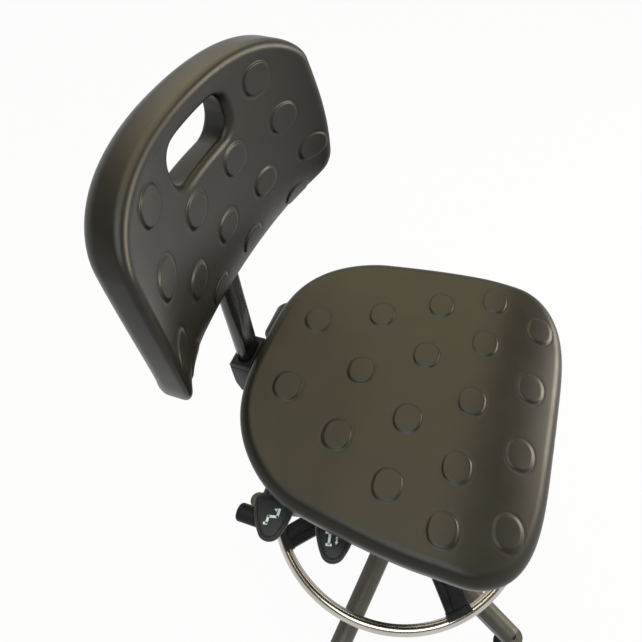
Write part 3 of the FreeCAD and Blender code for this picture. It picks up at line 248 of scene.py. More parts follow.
def moulding(name, dark, pale, specular):
    """Moulded plastic with a spark-eroded satin surface, between a dark and a pale tone."""
    paint = Shader(name)
    paint.colour(paint.ramp(paint.noise(36.0, 5.0), ((0.3, dark), (0.7, pale))))
    paint.roughness(paint.ramp(paint.noise(60.0, 6.0), ((0.3, 0.35), (0.7, 0.47))))
    paint.bump((paint.noise(1700.0, 2.0), 0.12, 0.0003))
    paint.set(Specular_IOR_Level=specular)
    return paint.material


def chrome_tube():
    """Chrome plate with faint smears."""
    paint = Shader("chrome_tube", metallic=1.0)
    paint.colour(paint.ramp(paint.noise(14.0, 4.0), ((0.3, (0.46, 0.44, 0.40)), (0.7, (0.55, 0.53, 0.48)))))
    paint.roughness(paint.ramp(paint.noise(35.0, 7.0), ((0.35, 0.13), (0.75, 0.20))))
    paint.bump((paint.noise(14.0, 2.0), 0.02, 0.0004))
    return paint.material


def black_steel():
    """Black powder coat with a slight orange peel."""
    paint = Shader("black_steel")
    tone = paint.noise(30.0, 4.0)
    paint.colour(paint.ramp(tone, ((0.3, (0.010, 0.010, 0.011)), (0.7, (0.017, 0.017, 0.018)))))
    paint.roughness(paint.ramp(paint.noise(55.0, 5.0), ((0.3, 0.18), (0.7, 0.29))))
    paint.bump((paint.noise(330.0, 2.0), 0.10, 0.0004))
    return paint.material


def bare_steel():
    """Zinc-plated steel with fine drawn lines."""
    paint = Shader("bare_steel", metallic=1.0)
    lines = paint.noise(60.0, 4.0, place=paint.stretched((1.0, 30.0, 30.0)))
    paint.colour(paint.ramp(lines, ((0.3, (0.47, 0.47, 0.48)), (0.7, (0.63, 0.63, 0.64)))))
    paint.roughness(paint.ramp(lines, ((0.3, 0.24), (0.7, 0.38))))
    paint.bump((lines, 0.05, 0.0003))
    return paint.material


def plywood():
    """Birch plywood: plies along its edge, grain along its face."""
    paint = Shader("plywood")
    grain = paint.noise(24.0, 6.0, place=paint.stretched((1.0, 12.0, 60.0)))
    paint.colour(paint.ramp(grain, ((0.25, (0.30, 0.19, 0.10)), (0.75, (0.52, 0.37, 0.22)))))
    paint.roughness(paint.ramp(grain, ((0.3, 0.5), (0.7, 0.68))))
    paint.bump((grain, 0.15, 0.0004))
    return paint.material


def sign_paint():
    """Pale pad print on the paddles, slightly worn."""
    paint = Shader("sign_paint")
    wear = paint.noise(900.0, 5.0)
    paint.colour(paint.ramp(wear, ((0.3, (0.66, 0.80, 0.76)), (0.6, (0.86, 0.96, 0.93)))))
    paint.bump((wear, 0.1, 0.0001))
    paint.set(Roughness=0.5)
    return paint.material


MATERIALS = {
    "skin_foam": skin_foam(),
    "black_moulding": moulding("black_moulding", (0.010, 0.011, 0.013), (0.017, 0.018, 0.020), 0.12),
    "chrome_tube": chrome_tube(),
    "black_steel": black_steel(),
    "bare_steel": bare_steel(),
    "board": plywood(),
}
SIGN_PAINT = sign_paint()
# Legs: black plastic given a paler base colour, a painted sheen for the grey reflection on their tops
LEG_MOULDING_PAINTED_SHEEN = moulding("leg_moulding_painted_sheen", (0.064, 0.062, 0.053), (0.080, 0.078, 0.067), 0.35)
# Levers: the same black plastic given a paler base colour, a painted sheen for the light on the paddles'
# tops
LEVER_MOULDING_PAINTED_SHEEN = moulding("lever_moulding_painted_sheen", (0.026, 0.027, 0.027), (0.036, 0.037, 0.036), 0.25)
LEG_NODES = ("base_star",)


def new_piece(name, mesh, body, material, replaced=()):
    """Put a mesh into the scene as a piece that rides on a body."""
    piece = bpy.data.objects.new(name, mesh)
    bpy.context.scene.collection.objects.link(piece)
    mesh.materials.clear()
    mesh.materials.append(material)
    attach(piece, body)
    if replaced:
        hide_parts(*replaced)
    return piece


def ring_mesh(name, rings, wrap=False):
    """A mesh of quads between rings of points; the ends are closed, or joined to each other."""
    count, around, _ = rings.shape
    points = rings.reshape(-1, 3)
    faces = []
    last = count if wrap else count - 1
    for ring in range(last):
        this = ring * around
        following = ((ring + 1) % count) * around
        for step in range(around):
            beside = (step + 1) % around
            faces.append((this + step, this + beside, following + beside, following + step))
    if not wrap:
        faces.append(tuple(reversed(range(around))))
        faces.append(tuple(range((count - 1) * around, count * around)))
    mesh = bpy.data.meshes.new(name)
    mesh.from_pydata(points.tolist(), [], faces)
    sheet = bmesh.new()
    sheet.from_mesh(mesh)
    bmesh.ops.recalc_face_normals(sheet, faces=sheet.faces)
    sheet.to_mesh(mesh)
    sheet.free()
    mesh.polygons.foreach_set("use_smooth", [True] * len(mesh.polygons))
    return mesh


def ellipse_fall(distance, reach, fall):
    """How far an elliptic round has fallen at a distance past its start."""
    share = np.clip(np.asarray(distance, float) / reach, 0.0, 1.0)
    return fall * (1.0 - np.sqrt(1.0 - share * share))


def smooth_step(value):
    share = np.clip(value, 0.0, 1.0)
    return share * share * (3.0 - 2.0 * share)


def dot_height(across, along, half_sizes, rows):
    """Height of the raised dots over points: low flat pads with a rounded rim and a fine line round it."""
    height = np.zeros_like(across)
    for level, places in rows:
        for place in places:
            reach_across = np.abs((across - place) / half_sizes[0]) ** DOT_SQUARENESS
            reach_along = np.abs((along - level) / half_sizes[1]) ** DOT_SQUARENESS
            reach = (reach_across + reach_along) ** (1.0 / DOT_SQUARENESS)
            outside = (reach - 1.0) * half_sizes[1]
            rise = DOT_RISE * smooth_step((DOT_RIM_FOOT - outside) / DOT_RIM_WIDTH)
            line = DOT_LINE_DEPTH * np.exp(-((outside - DOT_LINE_PLACE) / DOT_LINE_WIDTH) ** 2)
            height += rise - line
    return height


def polar_outline(points, centre, angles):
    """Radius of a closed outline about a centre at each angle."""
    offset = points - np.array(centre)
    bearing = np.arctan2(offset[:, 1], offset[:, 0])
    order = np.argsort(bearing)
    radius = np.hypot(offset[:, 0], offset[:, 1])[order]
    return np.interp(angles, bearing[order], radius, period=2 * math.pi)


def seat_half_width(y):
    taper = np.clip((y - SEAT_TAPER_START) / (SEAT_REAR - SEAT_TAPER_START), 0.0, 1.0)
    half = SEAT_HALF_WIDTH - SEAT_SIDE_TAPER * taper ** SEAT_TAPER_POWER
    corner = np.clip(1.0 - (y - SEAT_FRONT) / SEAT_CORNER_LENGTH, 0.0, 1.0)
    tail = np.clip(1.0 - (SEAT_REAR - y) / SEAT_TAIL_LENGTH, 0.0, 1.0)
    half = half * (1.0 - corner ** 2) ** (1.0 / SEAT_CORNER_POWER)
    return half * (1.0 - tail ** 2) ** (1.0 / SEAT_TAIL_POWER)


def seat_outline():
    """Plan of the seat's widest line, as closely spaced points."""
    turn = np.linspace(0.0, math.pi, 721)
    y = (SEAT_FRONT + SEAT_REAR) / 2 - (SEAT_REAR - SEAT_FRONT) / 2 * np.cos(turn)
    half = seat_half_width(y)
    return np.vstack((np.column_stack((half, y)), np.column_stack((-half, y))))


def seat_surface(x, y):
    """Level of the seat's upper face without its edge: front roll, raised rear and a shallow dish."""
    front = np.clip((SEAT_ROLL_START - y) / (SEAT_ROLL_START - SEAT_FRONT), 0.0, 1.0)
    rear = np.clip((y - SEAT_RISE_START) / (SEAT_REAR - SEAT_RISE_START), 0.0, 1.0)
    dish = (x / SEAT_HALF_WIDTH) ** 2
    return SEAT_TOP - SEAT_FRONT_DROP * front ** 2 + SEAT_REAR_RISE * rear ** 2 + SEAT_DISH * dish


def seat_underside(y):
    """Level of the seat's underside, which turns up with the top behind the board."""
    return SEAT_BOTTOM + ellipse_fall(y - (SEAT_REAR - BOARD_INSET), BOARD_INSET, SEAT_REAR_RISE)


def build_seat_cushion():
    """The seat's pad from rings about its middle: dotted top, rolled edge, rounded foot and underside."""
    around = 900
    smoothing_passes = 6
    inner_rings = 130
    edge_rings = 14
    foot_rings = 10
    underside_shares = (0.05, 0.12, 0.2, 0.35, 0.7, 0.98)
    angles = np.linspace(-math.pi, math.pi, around, endpoint=False)
    radius = polar_outline(seat_outline(), SEAT_CENTRE, angles)
    for _ in range(smoothing_passes):
        radius = (np.roll(radius, 1) + radius * 2 + np.roll(radius, -1)) / 4
    slope = (np.roll(radius, -1) - np.roll(radius, 1)) / (angles[2] - angles[0]) / radius
    facing = 1.0 / np.sqrt(1.0 + slope * slope)
    ray = np.column_stack((np.cos(angles), np.sin(angles)))
    full = radius * facing
    rings = []

    def spots(inset):
        """Plan of a ring at a distance inside the outline."""
        return (radius - inset / facing)[:, None] * ray + np.array(SEAT_CENTRE)

    def upper_ring(inset):
        plan = spots(inset)
        level = seat_surface(*plan.T) + dot_height(*plan.T, SEAT_DOT, SEAT_DOTS)
        rings.append(np.column_stack((plan, level - ellipse_fall(SEAT_EDGE[0] - inset, *SEAT_EDGE))))

    def lower_ring(inset, share):
        """Add a ring whose level goes from the waist to the underside by a share."""
        plan = spots(inset)
        rings.append(np.column_stack((plan, waist + (seat_underside(plan[:, 1]) - waist) * share)))

    for step in range(inner_rings):
        upper_ring(SEAT_EDGE[0] + (full - SEAT_EDGE[0]) * (1.0 - (step + 0.5) / inner_rings))
    for step in range(edge_rings + 1):
        upper_ring(SEAT_EDGE[0] * (1.0 - math.sin(math.pi / 2 * step / edge_rings)))
    waist = rings[-1][:, 2]
    for step in range(1, foot_rings + 1):
        turn = math.pi / 2 * step / foot_rings
        lower_ring(SEAT_FOOT * (1.0 - math.cos(turn)), math.sin(turn))
    for share in underside_shares:
        lower_ring(SEAT_FOOT + (full - SEAT_FOOT) * share, 1.0)
    mesh = ring_mesh("seat_pad", np.array(rings))
    piece = new_piece("seat_pad", mesh, "seat", MATERIALS["skin_foam"], ("seat_cushion",))


def back_half_width(z):
    upper = np.clip((z - BACK_LUMBAR) / (BACK_TOP - BACK_LUMBAR), 0.0, 1.0)
    lower = np.clip((BACK_LUMBAR - z) / (BACK_LUMBAR - BACK_BOTTOM), 0.0, 1.0)
    half = BACK_HALF_WIDTH - BACK_SIDE_TAPER * upper ** 2 - BACK_LOWER_TAPER * lower ** 2
    shoulder = np.clip(1.0 - (BACK_TOP - z) / BACK_SHOULDER, 0.0, 1.0)
    skirt = np.clip(1.0 - (z - BACK_BOTTOM) / BACK_SKIRT, 0.0, 1.0)
    half = half * (1.0 - shoulder ** 2) ** (1.0 / SHOULDER_POWER)
    return half * (1.0 - skirt ** 2) ** (1.0 / SKIRT_POWER)


def back_face_depth(x, z):
    """Place of the front face: a lumbar swell that falls back above and below, wrapped round the sitter."""
    upper = np.clip((z - BACK_LUMBAR) / (BACK_TOP - BACK_LUMBAR), 0.0, 1.0)
    lower = np.clip((BACK_LUMBAR - z) / (BACK_LUMBAR - BACK_BOTTOM), 0.0, 1.0)
    aside = np.abs(x) / BACK_HALF_WIDTH
    sweep = BACK_TOP_SWEEP * upper ** 2 - BACK_TOP_CURL * upper ** BACK_CURL_POWER
    sweep = sweep + BACK_BOTTOM_SWEEP * lower ** 2 + BACK_CORNER_SWEEP * (lower * aside) ** 2
    wrap = BACK_CURVE - np.sqrt(BACK_CURVE ** 2 - x ** 2)
    return BACK_FACE + sweep - wrap - BACK_CURL * aside ** BACK_CURL_POWER


def back_outline(count):
    """Outline of the backrest seen from the front, as evenly spaced points."""
    turn = np.linspace(0.0, math.pi, 2401)
    z = (BACK_BOTTOM + BACK_TOP) / 2 - (BACK_TOP - BACK_BOTTOM) / 2 * np.cos(turn)
    half = back_half_width(z)
    right = np.column_stack((half, z))
    left = np.column_stack((-half, z))[::-1]
    path = np.vstack((right, left, right[:1]))
    length = np.concatenate(([0.0], np.cumsum(np.hypot(*np.diff(path, axis=0).T))))
    spots = np.linspace(0.0, length[-1], count, endpoint=False)
    return np.column_stack((np.interp(spots, length, path[:, 0]), np.interp(spots, length, path[:, 1])))


def slot_reach(ray, grow):
    """Reach of the hand slot's outline, grown outwards, from its centre along each ray."""
    corner = SLOT_CORNER + grow
    turn = np.linspace(0.0, math.pi / 2, 40)
    quarter = np.column_stack((SLOT_HALF_LENGTH - SLOT_CORNER + corner * np.cos(turn),
                               SLOT_HALF_HEIGHT - SLOT_CORNER + corner * np.sin(turn)))
    shape = np.vstack((quarter, quarter[::-1] * (-1, 1), quarter * (-1, -1), quarter[::-1] * (1, -1)))
    share = np.linspace(0.0, 1.0, 60, endpoint=False)[:, None, None]
    dense = shape[None] + (np.roll(shape, -1, axis=0) - shape)[None] * share
    return polar_outline(dense.reshape(-1, 2), (0.0, 0.0), np.arctan2(ray[:, 1], ray[:, 0]))


def build_back_cushion():
    """The backrest's pad from rings about its hand slot: round the front, over the edge and back behind."""
    around = 1000
    least_facing = 0.35
    front_rings = 110
    rear_rings = 40
    edge_rings = 10
    slot_rings = 7
    outline = back_outline(around)
    centre = np.array((0.0, SLOT_LEVEL))
    offset = outline - centre
    radius = np.hypot(offset[:, 0], offset[:, 1])
    ray = offset / radius[:, None]
    tangent = np.roll(outline, -2, axis=0) - np.roll(outline, 2, axis=0)
    tangent /= np.hypot(tangent[:, 0], tangent[:, 1])[:, None]
    facing = np.abs(ray[:, 0] * tangent[:, 1] - ray[:, 1] * tangent[:, 0])
    facing = np.clip(facing, least_facing, 1.0)
    hole = slot_reach(ray, 0.0)
    grown = slot_reach(ray, SLOT_ROUND)
    rear_hole = slot_reach(ray, SLOT_FLARE)
    rear_grown = slot_reach(ray, SLOT_FLARE + SLOT_ROUND)
    brim = radius - BACK_EDGE / facing
    rings = []

    def ring(reach, behind):
        """Add a ring at a reach from the slot's centre, so far behind the plain front face."""
        spot = reach[:, None] * ray + centre
        x, z = spot[:, 0], spot[:, 1]
        share = np.clip(1.0 - behind / BACK_EDGE, 0.0, 1.0)
        dots = dot_height(x, z, BACK_DOT, BACK_DOTS) * share
        rings.append(np.column_stack((x, back_face_depth(x, z) + behind - dots, z)))

    rear = BACK_THICKNESS
    quarter = math.pi / 2
    for step in range(slot_rings + 1):
        turn = quarter * step / slot_rings
        ring(hole + (grown - hole) * (1.0 - math.cos(turn)), SLOT_RIM * (1.0 - math.sin(turn)))
    for step in range(1, front_rings + 1):
        ring(grown + (brim - grown) * step / front_rings, 0.0)
    for step in range(1, edge_rings + 1):
        turn = quarter * step / edge_rings
        ring(brim + (radius - brim) * math.sin(turn), BACK_EDGE * (1.0 - math.cos(turn)))
    for step in range(edge_rings + 1):
        turn = quarter * step / edge_rings
        ring(brim + (radius - brim) * math.cos(turn), rear - BACK_EDGE * (1.0 - math.sin(turn)))
    for step in range(1, rear_rings + 1):
        ring(brim + (rear_grown - brim) * step / rear_rings, rear)
    for step in range(1, slot_rings + 1):
        turn = quarter * step / slot_rings
        reach = rear_grown + (rear_hole - rear_grown) * math.sin(turn)
        ring(reach, rear - SLOT_RIM * (1.0 - math.cos(turn)))
    mesh = ring_mesh("back_pad", np.array(rings), wrap=True)
    piece = new_piece("back_pad", mesh, "backrest", MATERIALS["skin_foam"], ("back_cushion",))
    stem_low, stem_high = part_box("back_stem")
    plate_low, plate_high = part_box("back_plate")
    beyond = BACK_FACE + BACK_THICKNESS * 2
    stem_start = (stem_low.x, stem_low.y, BACK_BOTTOM - BACK_THICKNESS)
    carve(piece, "stem_way", stem_start, (stem_high.x, beyond, stem_high.z))
    carve(piece, "plate_way", plate_low, (plate_high.x, beyond, plate_high.z))
    piece.data.set_sharp_from_angle(angle=math.radians(40))


def block_mesh(name, low, high):
    mesh = bpy.data.meshes.new(name)
    corners = [(x, y, z) for x in (low[0], high[0]) for y in (low[1], high[1]) for z in (low[2], high[2])]
    faces = [(0, 1, 3, 2), (4, 6, 7, 5), (0, 4, 5, 1), (2, 3, 7, 6), (0, 2, 6, 4), (1, 5, 7, 3)]
    mesh.from_pydata(corners, [], faces)
    return mesh


def carve(piece, name, low, high):
    """Cut a box-shaped recess out of a piece."""
    tool = bpy.data.objects.new(name, block_mesh(name, low, high))
    bpy.context.scene.collection.objects.link(tool)
    bpy.context.view_layer.update()
    cutting = piece.modifiers.new(name, "BOOLEAN")
    cutting.operation = "DIFFERENCE"
    cutting.solver = "EXACT"
    cutting.object = tool
    ready = piece.evaluated_get(bpy.context.evaluated_depsgraph_get())
    mesh = bpy.data.meshes.new_from_object(ready)
    piece.modifiers.remove(cutting)
    bpy.data.objects.remove(tool)
    material = piece.data.materials[0]
    piece.data = mesh
    mesh.materials.clear()
    mesh.materials.append(material)


# How copies of the rigid pieces are cleaned and which of their edges are rounded
WELD_DISTANCE = 1e-6
FLAT_ANGLE = math.radians(0.5)
BEVEL_ANGLE = math.radians(32)
BEVEL_SEGMENTS = 3


def finish_node(node, bevel, grooves=()):
    """Stand a copy of a rigid CAD node in its place, with any grooves cut and its sharp edges rounded."""
    mesh = NODES[node].data.copy()
    sheet = bmesh.new()
    sheet.from_mesh(mesh)
    bmesh.ops.remove_doubles(sheet, verts=sheet.verts, dist=WELD_DISTANCE)
    bmesh.ops.dissolve_limit(sheet, angle_limit=FLAT_ANGLE, verts=sheet.verts, edges=sheet.edges)
    sheet.to_mesh(mesh)
    sheet.free()
    mesh.polygons.foreach_set("use_smooth", [True] * len(mesh.polygons))
    slot = SLOT_OF[node]
    material = LEG_MOULDING_PAINTED_SHEEN if node in LEG_NODES else MATERIALS[slot]
    piece = new_piece(node + "_finished", mesh, BODY_OF[node], material, (node,))
    for low, high in grooves:
        carve(piece, node + "_groove", low, high)
    rounding = piece.modifiers.new("rounding", "BEVEL")
    rounding.width = bevel
    rounding.segments = BEVEL_SEGMENTS
    rounding.limit_method = "ANGLE"
    rounding.angle_limit = BEVEL_ANGLE
    rounding.harden_normals = True


def build_ring_tube():
    """The bent foot ring as a smooth tube."""
    low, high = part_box("ring_tube")
    tube = (high.z - low.z) / 2
    reach = (high.x - low.x) / 2 - tube
    level = (high.z + low.z) / 2
    around = 480
    section = 64
    rings = []
    for step in range(around):
        turn = 2 * math.pi * step / around
        ring = []
        for corner in range(section):
            bend = 2 * math.pi * corner / section
            out = reach + tube * math.cos(bend)
            ring.append((out * math.cos(turn), out * math.sin(turn), level + tube * math.sin(bend)))
        rings.append(ring)
    mesh = ring_mesh("foot_ring_tube", np.array(rings), wrap=True)
    chrome = MATERIALS["chrome_tube"]
    new_piece("foot_ring_tube", mesh, "foot_ring", chrome, ("ring_tube",))


def arc_points(start, end, radius, count):
    """Points along an arc that bows to the left of the way from start to end, without the end itself."""
    start, end = Vector(start), Vector(end)
    chord = end - start
    middle = (start + end) / 2
    out = Vector((-chord.y, chord.x)).normalized()
    centre = middle - out * math.sqrt(max(radius ** 2 - chord.length_squared / 4, 0.0))
    half = math.asin(min(1.0, chord.length / 2 / radius))
    along = chord.normalized()
    turns = [half * (2 * step / count - 1) for step in range(count)]
    return [centre + out * radius * math.cos(turn) + along * radius * math.sin(turn) for turn in turns]


def paddle_outline():
    """A rounded triangle in plan, nose towards -X, middle line on Y 0; an arc follows each corner."""
    root = -PADDLE_ROOT
    tip = -(PADDLE_ROOT + PADDLE_LENGTH) + PADDLE_NOSE_RISE
    shoulder = root - PADDLE_SHOULDER
    half = PADDLE_HALF_WIDTH
    corners = [
        ((shoulder, half), PADDLE_BULGE, 24),
        ((tip, PADDLE_NOSE), PADDLE_NOSE_RADIUS, 16),
        ((tip, -PADDLE_NOSE), PADDLE_BULGE, 24),
        ((shoulder, -half), PADDLE_CORNER, 8),
        ((root, PADDLE_SHOULDER - half), PADDLE_BULGE, 16),
        ((root, half - PADDLE_SHOULDER), PADDLE_CORNER, 8),
    ]
    points = []
    for index, (spot, radius, count) in enumerate(corners):
        following = corners[(index + 1) % len(corners)][0]
        points += arc_points(following, spot, radius, count)[::-1]
    return np.array([tuple(point) for point in points])


def swept(points, place):
    """Swing points of a paddle's plan forwards about the middle of its root, then move them to its rod."""
    along = points[:, 0] + PADDLE_ROOT
    side = points[:, 1]
    turned_along = along * math.cos(PADDLE_SWEEP) - side * math.sin(PADDLE_SWEEP)
    turned_side = along * math.sin(PADDLE_SWEEP) + side * math.cos(PADDLE_SWEEP)
    return np.column_stack((turned_along - PADDLE_ROOT, turned_side + place))


def inset_outline(points, inset):
    """Move every point of an outline inwards along its own normal."""
    ahead = np.roll(points, -1, axis=0) - np.roll(points, 1, axis=0)
    ahead /= np.hypot(ahead[:, 0], ahead[:, 1])[:, None]
    inward = np.column_stack((-ahead[:, 1], ahead[:, 0]))
    middle = points.mean(axis=0)
    if ((middle - points) * inward).sum() < 0:
        inward = -inward
    return points + inward * inset


# Section of a paddle's rim from its underside, over the rim and down to its panel, as (inset, height)
PADDLE_SECTION = (
    (0.0050, 0.0), (0.0026, 0.0004), (0.0010, 0.0014), (0.0, 0.0032), (0.0, 0.0058), (0.0006, 0.0074),
    (0.0016, 0.0085), (0.0028, 0.0090), (0.0038, 0.0088), (0.0044, 0.0082), (0.0048, 0.0074),
    (0.0053, 0.0074), (0.0058, 0.0081), (0.0070, 0.0083),
)


def rod_rings(steps, start, middle_y, middle_z, radius):
    """Rings about an axis along X, from steps of (distance from the start, share of the radius)."""
    turns = np.linspace(0.0, 2 * math.pi, 40, endpoint=False)
    rings = []
    for along, share in steps:
        rings.append(np.column_stack((np.full(len(turns), start + along),
                                      middle_y + radius * share * np.cos(turns),
                                      middle_z + radius * share * np.sin(turns))))
    return np.array(rings)


def build_paddle(label):
    """A lever's blade: thick rounded rim, fine groove, flat panel, and the boss round its rod."""
    outline = paddle_outline()
    place = PADDLE_PLACES[label]
    rings = []
    for inset, height in PADDLE_SECTION:
        ring = swept(inset_outline(outline, inset), place)
        rings.append(np.column_stack((ring, np.full(len(ring), LEVER_LEVEL + height))))
    blade = ring_mesh(label + "_blade", np.array(rings))
    start = -(PADDLE_ROOT + PADDLE_LENGTH * 0.6)
    length = PADDLE_LENGTH * 0.7
    steps = ((0.0, 0.45), (0.001, 0.75), (0.003, 0.94), (0.006, 1.0),
             (length - 0.001, 1.0), (length, 0.9), (length, 0.6))
    boss = ring_mesh(label + "_boss", rod_rings(steps, start, place, LEVER_LEVEL, PADDLE_BOSS))
    sheet = bmesh.new()
    sheet.from_mesh(blade)
    sheet.from_mesh(boss)
    sheet.to_mesh(blade)
    sheet.free()
    blade.set_sharp_from_angle(angle=LEVER_SHARP_ANGLE)
    new_piece(label + "_paddle_blade", blade, label + "_lever", LEVER_MOULDING_PAINTED_SHEEN,
              (label + "_paddle",))


def build_tilt_sleeve():
    """The moulded sleeve round the outer end of the tilt lever's rod."""
    low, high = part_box("tilt_rod")
    middle_y = (low.y + high.y) / 2
    middle_z = (low.z + high.z) / 2
    start = low.x + TILT_SLEEVE_START
    length = TILT_SLEEVE_LENGTH
    steps = ((0.0, 0.6), (0.0, 0.85), (TILT_SLEEVE_ROUND, 1.0),
             (length - TILT_SLEEVE_ROUND, 1.0), (length, 0.85), (length, 0.6))
    mesh = ring_mesh("tilt_sleeve", rod_rings(steps, start, middle_y, middle_z, TILT_SLEEVE_RADIUS))
    mesh.set_sharp_from_angle(angle=LEVER_SHARP_ANGLE)
    new_piece("tilt_sleeve", mesh, "tilt_lever", LEVER_MOULDING_PAINTED_SHEEN)


def bar(start, end, width):
    """Corners of a straight stroke."""
    start, end = Vector(start), Vector(end)
    along = (end - start).normalized()
    side = Vector((-along.y, along.x)) * width / 2
    return [start + side, start - side, end - side, end + side]


def arrow(tip, heading, size):
    """Corners of a small solid arrow head."""
    tip, heading = Vector(tip), Vector(heading).normalized()
    side = Vector((-heading.y, heading.x)) * size * 0.55
    return [tip, tip - heading * size + side, tip - heading * size - side]


# Signs on the paddles in millimetres: the first number runs towards the front, the second towards the seat
STROKE = 2.9
THIN_STROKE = 1.2
SIGN_SCALE = 1.1
SIGNS = {
    "back": [bar((7.5, 9.5), (6.0, -1.3), STROKE), bar((7.2, 0.0), (-5.0, 0.0), STROKE),
             bar((-4.0, 1.2), (-5.0, -8.5), STROKE), bar((-3.6, -8.0), (-8.6, -8.0), STROKE),
             arrow((1.2, 8.6), (-1, 0.3), 3.6), bar((5.2, 7.6), (3.6, 7.9), THIN_STROKE)],
    "lift": [bar((-11.0, 5.0), (2.0, 5.0), STROKE), bar((-5.5, 5.0), (-5.5, -8.0), STROKE),
             bar((-9.0, -8.0), (-2.0, -8.0), STROKE), arrow((2.8, 2.0), (0, 1), 3.4),
             bar((2.8, -0.4), (2.8, -4.0), THIN_STROKE), arrow((2.8, -7.4), (0, -1), 3.4)],
}
SIGN_REACH = PADDLE_ROOT + PADDLE_LENGTH * 0.49
SIGN_LOW = LEVER_LEVEL + 0.0080
SIGN_HIGH = LEVER_LEVEL + 0.00845


def build_sign(label):
    """The pale sign printed on a paddle, standing up a little from its panel."""
    sheet = bmesh.new()
    for shape in SIGNS[label]:
        drawn = [point * SIGN_SCALE / 1000 for point in shape]
        plan = np.array([(point.y - SIGN_REACH, -point.x) for point in drawn])
        spots = swept(plan, PADDLE_PLACES[label])
        low = [sheet.verts.new((*spot, SIGN_LOW)) for spot in spots]
        high = [sheet.verts.new((*spot, SIGN_HIGH)) for spot in spots]
        sheet.faces.new(low)
        sheet.faces.new(high)
        for index in range(len(spots)):
            beside = (index + 1) % len(spots)
            sheet.faces.new((low[index], low[beside], high[beside], high[index]))
    bmesh.ops.recalc_face_normals(sheet, faces=sheet.faces)
    mesh = bpy.data.meshes.new(label + "_sign")
    sheet.to_mesh(mesh)
    sheet.free()
    new_piece(label + "_sign", mesh, label + "_lever", SIGN_PAINT)


# Rounding of the edges of each rigid piece, in metres
BEVELS = {
    "base_star": 0.003, "ring_spider": 0.0025, "stem_box": 0.0025, "back_stem": 0.0006,
    "stem_plug": 0.0008,
    "mechanism_pan": 0.001, "height_knob": 0.002, "ring_knob": 0.002, "guide_bush": 0.0008,
    "back_arm": 0.0012,
    "seat_plate": 0.0006, "seat_board": 0.0008, "taper_socket": 0.0008, "back_plate": 0.0006,
    "seat_bolts": 0.0006, "back_bolts": 0.0006, "stand_tube": 0.0005, "pivot_axle": 0.0006,
    "lift_rod": 0.0008, "back_rod": 0.0006, "tilt_rod": 0.0006,
}
for leg in range(1, 6):
    BEVELS["glide_%d" % leg] = 0.001

# The parting line near the top of the stem's box
BOX_SEAM = 0.0013
BOX_SEAM_DROP = 0.013


def dress_nodes():
    """Round the rigid pieces' edges and give every node its material."""
    low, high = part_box("stem_box")
    seam = high.z - BOX_SEAM_DROP
    seam_low = (low.x - BOX_SEAM, low.y - BOX_SEAM, seam)
    seam_high = (low.x + BOX_SEAM, high.y + BOX_SEAM, seam + BOX_SEAM)
    for node, bevel in BEVELS.items():
        finish_node(node, bevel, [(seam_low, seam_high)] if node == "stem_box" else [])
    for node, item in NODES.items():
        item.data.materials.clear()
        item.data.materials.append(MATERIALS[SLOT_OF[node]])


def build_camera():
    """The photograph's camera, with its axis off the middle of the frame."""
    turn = math.radians(CAMERA_AZIMUTH)
    rise = math.radians(CAMERA_ELEVATION)
    back = Vector((math.sin(turn) * math.cos(rise), -math.cos(turn) * math.cos(rise), math.sin(rise)))
    right = Vector((0, 0, 1)).cross(back).normalized()
    up = back.cross(right)
    roll = math.radians(CAMERA_ROLL)
    across = right * math.cos(roll) + up * math.sin(roll)
    upright = up * math.cos(roll) - right * math.sin(roll)
    lens = bpy.data.cameras.new("photo_camera")
    lens.sensor_width = SENSOR_WIDTH
    lens.lens = FOCAL_PIXELS / FRAME_PIXELS * SENSOR_WIDTH
    lens.shift_x = (FRAME_PIXELS / 2 - AXIS_PIXEL[0]) / FRAME_PIXELS
    lens.shift_y = (AXIS_PIXEL[1] - FRAME_PIXELS / 2) / FRAME_PIXELS
    camera = bpy.data.objects.new("photo_camera", lens)
    axes = Matrix((across, upright, back)).transposed().to_4x4()
    camera.matrix_world = Matrix.Translation(CAMERA_PLACE) @ axes
    bpy.context.scene.collection.objects.link(camera)
    bpy.context.scene.camera = camera


def area_light(name, place, target, width, height, power, colour):
    """A soft rectangular lamp that faces a target."""
    lamp = bpy.data.lights.new(name, "AREA")
    lamp.shape = "RECTANGLE"
    lamp.size = width
    lamp.size_y = height
    lamp.energy = power
    lamp.color = colour
    item = bpy.data.objects.new(name, lamp)
    item.location = place
    item.rotation_euler = (Vector(target) - Vector(place)).to_track_quat("-Z", "Y").to_euler()
    bpy.context.scene.collection.objects.link(item)


def background_mix(tree, shown, lit):
    """What the camera, mirrors and glass see, mixed with what lights everything else."""
    path = tree.nodes.new("ShaderNodeLightPath")
    seen = path.outputs["Is Camera Ray"]
    for kind in ("Is Glossy Ray", "Is Transmission Ray"):
        either = tree.nodes.new("ShaderNodeMath")
        either.operation = "MAXIMUM"
        tree.links.new(seen, either.inputs[0])
        tree.links.new(path.outputs[kind], either.inputs[1])
        seen = either.outputs[0]
    mix = tree.nodes.new("ShaderNodeMixShader")
    tree.links.new(seen, mix.inputs[0])
    tree.links.new(lit, mix.inputs[1])
    tree.links.new(shown, mix.inputs[2])
    return mix.outputs[0]


# Colours of the room from the horizon up to the ceiling, as it lights the chair and as it is seen
ROOM_LIGHT = (
    (0.0, (0.10, 0.10, 0.10)),
    (0.15, (0.20, 0.22, 0.25)),
    (0.5, (0.55, 0.50, 0.42)),
    (1.0, (0.9, 0.84, 0.72)),
)
BACKDROP = (
    (0.0, (1.0, 1.0, 1.0)),
    (0.45, (1.0, 1.0, 1.0)),
    (0.72, (0.14, 0.13, 0.10)),
    (1.0, (0.14, 0.13, 0.10)),
)
ROOM_STRENGTH = 0.55
FLOOR_HALF = 6.0
FLOOR_COLOUR = (0.50, 0.48, 0.45, 1.0)
FLOOR_WHITE_SHARE = 0.965


